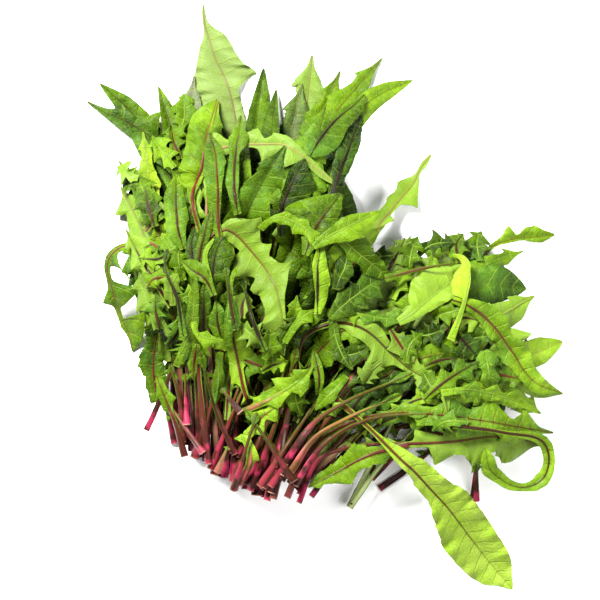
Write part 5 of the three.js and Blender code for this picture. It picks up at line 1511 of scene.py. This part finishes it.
class Bunch:
    """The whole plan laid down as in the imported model, and what of it has been shown so far."""

    def __init__(self):
        heap = HeightMap(CELL)
        draw = draws_from(OUTLINE_SEED)
        self.bed = lay_sprigs(heap, BED, draw)
        heap.top = np.maximum(heap.top, ABOVE_BED)
        fans = fan_sprigs(UP_FAN), fan_sprigs(RIGHT_FAN)
        mixed = [fan[k] for k in range(max(map(len, fans))) for fan in fans if k < len(fan)]
        self.lower = lay_sprigs(heap, mixed, draw)
        self.fill = [[] for _ in SHOWN]
        waiting = mingled(fill_leaves(), bare_stalks())
        total = len(waiting)
        fill_draw = draws_from(FILL_SEED + 1)

        def lay_fill(k):
            while len(waiting) * len(SHOWN) > total * (len(SHOWN) - 1 - k):
                name, look, plan = waiting.pop()
                laid = lay_loose(heap, plan, fill_draw)
                too_low = name.startswith("fill") and plan["route"][0][1] > FILL_LOWEST
                if laid.points[:, :, 2].max() < FILL_HIGHEST and not too_low:
                    self.fill[k].append((name, look, laid))

        shown = [(name, plans) for name, _, plans in SHOWN]
        self.shown = lay_sprigs(heap, shown, draw, lay_fill)
        self.shift = self.shift_to_packed()
        self.jagged = jagged_leaves()
        over = [(name, [plan]) for name, _, _, plan in self.jagged + COVER + LOOSE]
        self.over = lay_sprigs(heap, over, draws_from(LOOSE_SEED))
        self.fine_heap = HeightMap(FINE_CELL)
        self.fine_heap.top += CLEARANCE + PRESSED - FINE_GAP
        self.draw = draws_from(LOOK_SEED)
        self.materials = {}

    def shift_to_packed(self):
        """The way from the plan to the frame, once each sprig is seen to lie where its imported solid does."""
        boxes = {}
        for name, leaves in {**self.bed, **self.lower, **self.shown}.items():
            points = np.concatenate([each.points.reshape(-1, 3) for each in leaves])
            if name in self.bed:
                points[:, 2] = np.maximum(points[:, 2], CLEARANCE + PRESSED)
            boxes[name] = points.min(axis=0), points.max(axis=0)
        low = np.min([box[0] for box in boxes.values()], axis=0)
        high = np.max([box[1] for box in boxes.values()], axis=0)
        shift = np.array([-(low[0] + high[0]) / 2, -(low[1] + high[1]) / 2, -low[2]])
        for name, box in boxes.items():
            off = np.abs((np.array(box) + shift) * MM - np.array(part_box(name))).max()
            if off > SAME_PLACE:
                raise RuntimeError(f"{name} lies {off * 1000:.1f} mm away from its packed solid")
        return shift

    def show(self, name, leaves, look, slot, row_step, replaced=True):
        """Shows one sprig as fine leaves joined at the heel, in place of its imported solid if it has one."""
        style = bpy.context.scene.radicchio_leaf
        slender = name.startswith(("fill", "cover", "jagged"))
        parts = []
        for k, laid in enumerate(leaves):
            laid.ears = replaced and laid.plan["rows"] is None
            tone = look[0][k] if isinstance(look[0], tuple) else look[0]
            fine = FineLeaf(laid, (tone, *look[1:]), self.draw, row_step, style, slender)
            fine.foot_red = self.draw(*FOOT_REDNESS) * (name not in GREEN_FEET and not slender)
            if not replaced:
                fine.z -= OVER_PRESSED
            fine.rest_on(self.fine_heap)
            parts.append(leaf_piece(f"{name}_leaf_{k + 1}", fine, self.shift))
        if len(leaves) > 1:
            parts.append(heel_piece(f"{name}_heel", leaves[0], leaves[-1], (tone, *look[1:]), self.shift))
        for part in parts:
            part.select_set(True)
        bpy.context.view_layer.objects.active = parts[0]
        bpy.ops.object.join()
        piece = bpy.context.object
        piece.name = f"{name}_fine"
        slot = "leaf_pale" if leaves[0].plan["turned"] else slot
        piece.data.materials.clear()
        piece.data.materials.append(self.material(slot))
        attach(piece, "root")
        if replaced:
            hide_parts(name)

    def show_packed(self, sprigs, slot, row_step, fill=None):
        """Shows packed sprigs in turn, each followed by the small leaves laid after it."""
        for k, (name, leaves) in enumerate(sprigs.items()):
            look = LOOKS.get(name) or HIDDEN_LOOKS[k % len(HIDDEN_LOOKS)]
            self.show(name, leaves, look, slot, row_step)
            for small_name, small_look, laid in fill[k] if fill else ():
                self.show(small_name, [laid], small_look, slot, row_step, replaced=False)

    def show_over(self, leaves):
        """Shows leaves that only this scene has, over the others."""
        for name, tone, hue, _ in leaves:
            blush = GREEN_BLUSH if hue == CELADON else RED_BLUSH
            look = tone, hue, blush, YELLOW_LEAVES.get(name, 0)
            self.show(name, self.over[name], look, "leaf_green", ROW_STEP, replaced=False)

    def material(self, slot):
        if slot not in self.materials:
            self.materials[slot] = LeafMaterial(slot).material
        return self.materials[slot]


class Flow:
    """A value that flows through a material's nodes, added, taken away and multiplied like a number."""

    def __init__(self, tree, socket):
        self.tree, self.socket = tree, socket

    def __add__(self, other):
        return math_node(self.tree, "ADD", self, other)

    def __sub__(self, other):
        return math_node(self.tree, "SUBTRACT", self, other)

    def __rsub__(self, other):
        return math_node(self.tree, "SUBTRACT", other, self)

    def __mul__(self, other):
        return math_node(self.tree, "MULTIPLY", self, other)

    def __abs__(self):
        return math_node(self.tree, "ABSOLUTE", self)

    def folded(self):
        """How far the value is from the nearest whole number."""
        return math_node(self.tree, "PINGPONG", self, 0.5)

    def rising(self, edge):
        """0 where the value is below the edge, 1 past it, and smooth between."""
        inputs = {"Value": self, "From Min": edge[0], "From Max": edge[1]}
        return make_node(self.tree, "ShaderNodeMapRange", inputs, "Result", interpolation_type="SMOOTHSTEP")

    def falling(self, edge):
        return 1.0 - self.rising(edge)


def make_node(tree, kind, inputs, output=0, **settings):
    """A new node with flows or plain values in its inputs, and the flow that comes out of it."""
    made = tree.nodes.new(kind)
    for key, value in settings.items():
        setattr(made, key, value)
    for key, value in inputs.items():
        if isinstance(value, Flow):
            tree.links.new(value.socket, made.inputs[key])
        else:
            made.inputs[key].default_value = value
    return Flow(tree, made.outputs[output]) if made.outputs else None


def math_node(tree, operation, *values):
    return make_node(tree, "ShaderNodeMath", dict(enumerate(values)), operation=operation)


class LeafMaterial:
    """Green leaf with a coloured rib, side veins and a fine net of veins, from the leaf's own measures."""

    def __init__(self, name):
        self.material = bpy.data.materials.new(name)
        self.material.use_nodes = True
        self.tree = self.material.node_tree
        self.tree.nodes.clear()
        self.along, self.across, self.v = self.measures("leaf_place")
        self.tone, self.blush, self.yellow = self.measures("kind")
        self.rib, self.upper, self.share = self.measures("part")
        self.hue = self.node("ShaderNodeAttribute", {}, "Color", attribute_name="rib_colour")
        self.foot_red = self.node("ShaderNodeAttribute", {}, "Alpha", attribute_name="rib_colour")
        self.here = self.node("ShaderNodeTexCoord", {}, "Object")
        self.patches = self.noise(self.here, PATCH_SCALE)
        self.grain = self.noise(self.here, GRAIN_SCALE, GRAIN_DETAIL)
        self.vein, self.net = self.veins()
        fibres_at = self.vector(self.along * FIBRES_ALONG, self.across * FIBRES_ACROSS, self.tone)
        self.fibres = self.noise(fibres_at, 1.0)
        self.redder = self.foot_red * self.along.falling(FOOT_RED_FADES)
        self.on_rib = (self.rib - self.redder * FOOT_SPREADS).falling(RIB_EDGE)
        green = self.blade()
        self.node("ShaderNodeOutputMaterial", {"Surface": self.node("ShaderNodeBsdfPrincipled", {
            "Base Color": self.mix(self.on_rib, green, self.stem(green)),
            "Roughness": self.on_rib * RIB_GLOSS + (self.grain * GRAIN_ROUGHNESS + ROUGHNESS),
            "Specular IOR Level": SPECULAR,
            "Normal": self.bump(),
        })})

    def node(self, kind, inputs, output=0, **settings):
        return make_node(self.tree, kind, inputs, output, **settings)

    def mix(self, share, a, b):
        """From colour a, at share 0, to colour b."""
        a, b = ((*colour, 1.0) if isinstance(colour, tuple) else colour for colour in (a, b))
        return self.node("ShaderNodeMix", {0: share, 6: a, 7: b}, 2, data_type="RGBA")

    def vector(self, x, y, z):
        return self.node("ShaderNodeCombineXYZ", {0: x, 1: y, 2: z})

    def measures(self, name):
        """The three measures of a leaf that its points keep under a name."""
        vector = self.node("ShaderNodeAttribute", {}, "Vector", attribute_name=name)
        first = self.node("ShaderNodeSeparateXYZ", {0: vector})
        return [Flow(self.tree, each) for each in first.socket.node.outputs]

    def noise(self, vector, scale, detail=2.0):
        return self.node("ShaderNodeTexNoise", {"Vector": vector, "Scale": scale, "Detail": detail}, "Fac")

    def veins(self):
        """The side veins, which fade towards the margin, and the fine net between them."""
        swept = self.along - abs(self.across) * VEIN_SWEEP + (self.grain - 0.5) * VEIN_WANDER
        vein = (swept * (1 / VEIN_STEP)).folded().falling(VEIN_EDGE) * (1.0 - self.v * VEINS_FADE)
        stray = self.grain * NET_STRAY
        inputs = {"Vector": self.vector(self.along + stray, self.across + stray, 0.0), "Scale": NET_SCALE}
        cells = self.node("ShaderNodeTexVoronoi", inputs, "Distance", feature="DISTANCE_TO_EDGE")
        return vein, cells.falling(NET_EDGE)

    def blade(self):
        """The blade's colour: patchy green, a pale painted sheen on its brightest patches, lighter veins, the
        rib's colour near it, and a pale underside.
        """
        style = bpy.context.scene.radicchio_colour
        lit = self.tone + (self.patches - 0.5) * PATCHES_SHOW + (self.grain - 0.5) * GRAIN_SHOWS
        cool = self.noise(self.here, COOL_SCALE).rising(COOL_PATCHES)
        common = self.mix(cool, tuple(style.mid), COOL_GREEN)
        green = self.mix(lit.rising(DEEP_TO_MID), tuple(style.deep), common)
        green = self.mix(lit.rising(MID_TO_BRIGHT), green, tuple(style.bright))
        # Painted sheen: the brightest patches turn pale, as glossy highlights would look
        green = self.mix(lit.rising(BRIGHT_TO_PALE_SHEEN), green, PALE_SHEEN_GREEN)
        green = self.mix(self.yellow * self.patches.rising(YELLOW_PATCHES), green, YELLOWED)
        green = self.mix((self.yellow * -1.0).rising((0.0, 1.0)), green, FROSTED)
        veined = self.vein * VEINS_SHOW + self.net * NET_SHOWS
        green = self.mix(veined * (self.tone * VEINS_ON_BRIGHT + VEINS_ON_DARK), green, VEIN_GREEN)
        near = self.rib.falling(BLUSH_BY_RIB) * BLUSH_SHARE + self.vein * self.v.falling(BLUSH_BY_VEIN)
        green = self.mix(self.blush * near, green, self.hue)
        return self.mix(self.upper, self.mix(UNDERSIDE_SHARE, green, UNDERSIDE), green)

    def stem(self, green):
        """The rib's colour: redder at its foot, fibrous, green towards the tip, and pale where it is cut."""
        foot = self.noise(self.here, FOOT_SCALE).rising(FOOT_PATCHES)
        foot = self.mix(foot, FOOT_DARK, tuple(bpy.context.scene.radicchio_colour.foot))
        stem = self.mix(self.redder, self.hue, foot)
        stem = self.mix(self.fibres.rising(FIBRE_EDGE) * FIBRE_SHARE, stem, FIBRE_COLOUR)
        stem = self.mix(self.share.rising(RIB_TURNS_GREEN) * (1.0 - self.blush), stem, green)
        return self.mix(self.foot_red * self.along.falling(CUT_EDGE), stem, CUT_FACE)

    def bump(self):
        """The relief: veins sink into the upper side and stand out below, and fibres run along the rib."""
        relief = (self.vein * VEIN_SINKS + self.net * NET_SINKS) * (1.0 - self.on_rib)
        relief = self.mix(self.upper, relief * UNDER_STANDS, relief)
        height = relief + self.fibres * (self.on_rib * FIBRE_STANDS)
        inputs = {"Height": height, "Strength": BUMP_STRENGTH, "Distance": BUMP_DEPTH}
        return self.node("ShaderNodeBump", inputs)


def colour_property(name, description, default):
    return FloatVectorProperty(name=name, description=description, default=default, subtype="COLOR")


class LeafStyle(bpy.types.PropertyGroup):
    camber: FloatProperty(
        name="Camber", description="Arch of each half blade, as a share of its width", default=0.1)
    ruffle: FloatProperty(
        name="Ruffle", description="Height in mm of the waves along a broad margin", default=1.8)
    bulge: FloatProperty(
        name="Bulge", description="Height in mm of the blade between two side veins", default=0.5)
    droop: FloatProperty(
        name="Droop", description="How far in mm a broad margin hangs below its packed place", default=1.6)


class ColourStyle(bpy.types.PropertyGroup):
    deep: colour_property("Deep green", "Colour of the darkest leaves", (0.004, 0.012, 0.0004))
    mid: colour_property("Mid green", "Colour of the common leaves", (0.044, 0.09, 0.0005))
    bright: colour_property("Bright green", "Colour of the lightest leaves", (0.118, 0.202, 0.006))
    foot: colour_property("Foot red", "Brightest colour of the cut ends", (0.24, 0.014, 0.045))


class StageStyle(bpy.types.PropertyGroup):
    middle: FloatVectorProperty(
        name="Middle", description="Where the camera looks", default=(-0.0175, -0.0021, 0.03),
        subtype="XYZ", unit="LENGTH")
    distance: FloatProperty(
        name="Distance", description="Camera height above the middle", default=3.0, unit="LENGTH")
    seen: FloatProperty(
        name="Seen", description="Width that the picture covers at the middle", default=0.42, unit="LENGTH")
    floor_colour: colour_property("Floor colour", "Colour of the plain floor", (0.93, 0.93, 0.93))


BUNCH = {}


class RADICCHIO_OT_bed(bpy.types.Operator):
    """Lay the leaves that lie flat on the surface"""

    bl_idname = "radicchio.bed"
    bl_label = "Bed of leaves"

    def execute(self, context):
        BUNCH["laid"] = Bunch()
        BUNCH["laid"].show_packed(BUNCH["laid"].bed, "leaf_deep", HIDDEN_ROW_STEP)
        return {"FINISHED"}


class RADICCHIO_OT_lower_heap(bpy.types.Operator):
    """Lay the pairs of leaves that fill both fans under the others"""

    bl_idname = "radicchio.lower_heap"
    bl_label = "Lower heap"

    def execute(self, context):
        BUNCH["laid"].show_packed(BUNCH["laid"].lower, "leaf_deep", HIDDEN_ROW_STEP)
        return {"FINISHED"}


class RADICCHIO_OT_top_leaves(bpy.types.Operator):
    """Lay the leaves that show, from the lowest to the highest, with small leaves and bare stalks between"""

    bl_idname = "radicchio.top_leaves"
    bl_label = "Top leaves"

    def execute(self, context):
        BUNCH["laid"].show_packed(BUNCH["laid"].shown, "leaf_green", ROW_STEP, BUNCH["laid"].fill)
        return {"FINISHED"}


class RADICCHIO_OT_jagged(bpy.types.Operator):
    """Lay the small jagged leaves over the heap"""

    bl_idname = "radicchio.jagged"
    bl_label = "Small jagged leaves"

    def execute(self, context):
        BUNCH["laid"].show_over(BUNCH["laid"].jagged)
        return {"FINISHED"}


class RADICCHIO_OT_cover(bpy.types.Operator):
    """Lay the leaves that cover the top of the heap, most of them drawn by their own outline"""

    bl_idname = "radicchio.cover"
    bl_label = "Covering leaves"

    def execute(self, context):
        BUNCH["laid"].show_over(COVER)
        return {"FINISHED"}


class RADICCHIO_OT_loose(bpy.types.Operator):
    """Lay the small loose leaves and bare stalks over the cut ends"""

    bl_idname = "radicchio.loose"
    bl_label = "Loose bits"

    def execute(self, context):
        BUNCH["laid"].show_over(LOOSE)
        return {"FINISHED"}


def area_light(name, target, place, size, power):
    deselect_all()
    bpy.ops.object.light_add(type="AREA", location=place)
    light = bpy.context.object
    light.name = name
    light.data.shape = "DISK"
    light.data.size = size
    light.data.energy = power
    light.rotation_euler = (target - light.location).to_track_quat("-Z", "Y").to_euler()


class RADICCHIO_OT_stage(bpy.types.Operator):
    """Set the floor, lights and camera straight above the bunch"""

    bl_idname = "radicchio.stage"
    bl_label = "Stage"

    def execute(self, context):
        scene = context.scene
        style = scene.radicchio_stage
        middle = Vector(style.middle)
        deselect_all()
        bpy.ops.mesh.primitive_plane_add(size=FLOOR_SIZE, location=(0, 0, -FLOOR_DROP))
        floor = context.object
        floor.name = "floor"
        paper = bpy.data.materials.new("floor")
        paper.use_nodes = True
        surface = paper.node_tree.nodes["Principled BSDF"]
        surface.inputs["Base Color"].default_value = (*style.floor_colour, 1)
        surface.inputs["Roughness"].default_value = FLOOR_ROUGHNESS
        floor.data.materials.append(paper)
        area_light("key", middle, **KEY_LIGHT)
        area_light("fill", middle, **FILL_LIGHT)
        scene.world = scene.world or bpy.data.worlds.new("world")
        scene.world.use_nodes = True
        sky = scene.world.node_tree.nodes["Background"]
        sky.inputs["Color"].default_value = (1, 1, 1, 1)
        sky.inputs["Strength"].default_value = SKY_STRENGTH
        bpy.ops.object.camera_add(location=middle + Vector((0, 0, style.distance)))
        scene.camera = context.object
        scene.camera.data.lens = scene.camera.data.sensor_width * style.distance / style.seen
        scene.camera.data.clip_end = SEEN_TO
        scene.view_settings.view_transform = "Standard"
        return {"FINISHED"}


class RADICCHIO_PT_panel(bpy.types.Panel):
    bl_label = "Radicchio"
    bl_space_type = "VIEW_3D"
    bl_region_type = "UI"
    bl_category = "Radicchio"

    def draw(self, context):
        for step in STEPS:
            self.layout.operator(step.bl_idname)
        for name in STYLES:
            style = getattr(context.scene, name)
            for key in style.bl_rna.properties.keys():
                if key not in ("rna_type", "name"):
                    self.layout.prop(style, key)


STEPS = (
    RADICCHIO_OT_bed, RADICCHIO_OT_lower_heap, RADICCHIO_OT_top_leaves, RADICCHIO_OT_jagged,
    RADICCHIO_OT_cover, RADICCHIO_OT_loose, RADICCHIO_OT_stage,
)
STYLES = {"radicchio_leaf": LeafStyle, "radicchio_colour": ColourStyle, "radicchio_stage": StageStyle}
CLASSES = (*STYLES.values(), *STEPS, RADICCHIO_PT_panel)


def register():
    for each in CLASSES:
        bpy.utils.register_class(each)
    for name, style in STYLES.items():
        setattr(bpy.types.Scene, name, PointerProperty(type=style))


def unregister():
    for name in STYLES:
        delattr(bpy.types.Scene, name)
    for each in reversed(CLASSES):
        bpy.utils.unregister_class(each)


def main():
    register()
    bpy.ops.radicchio.bed()
    bpy.ops.radicchio.lower_heap()
    bpy.ops.radicchio.top_leaves()
    bpy.ops.radicchio.jagged()
    bpy.ops.radicchio.cover()
    bpy.ops.radicchio.loose()
    bpy.ops.radicchio.stage()


if __name__ == "__main__":
    main()
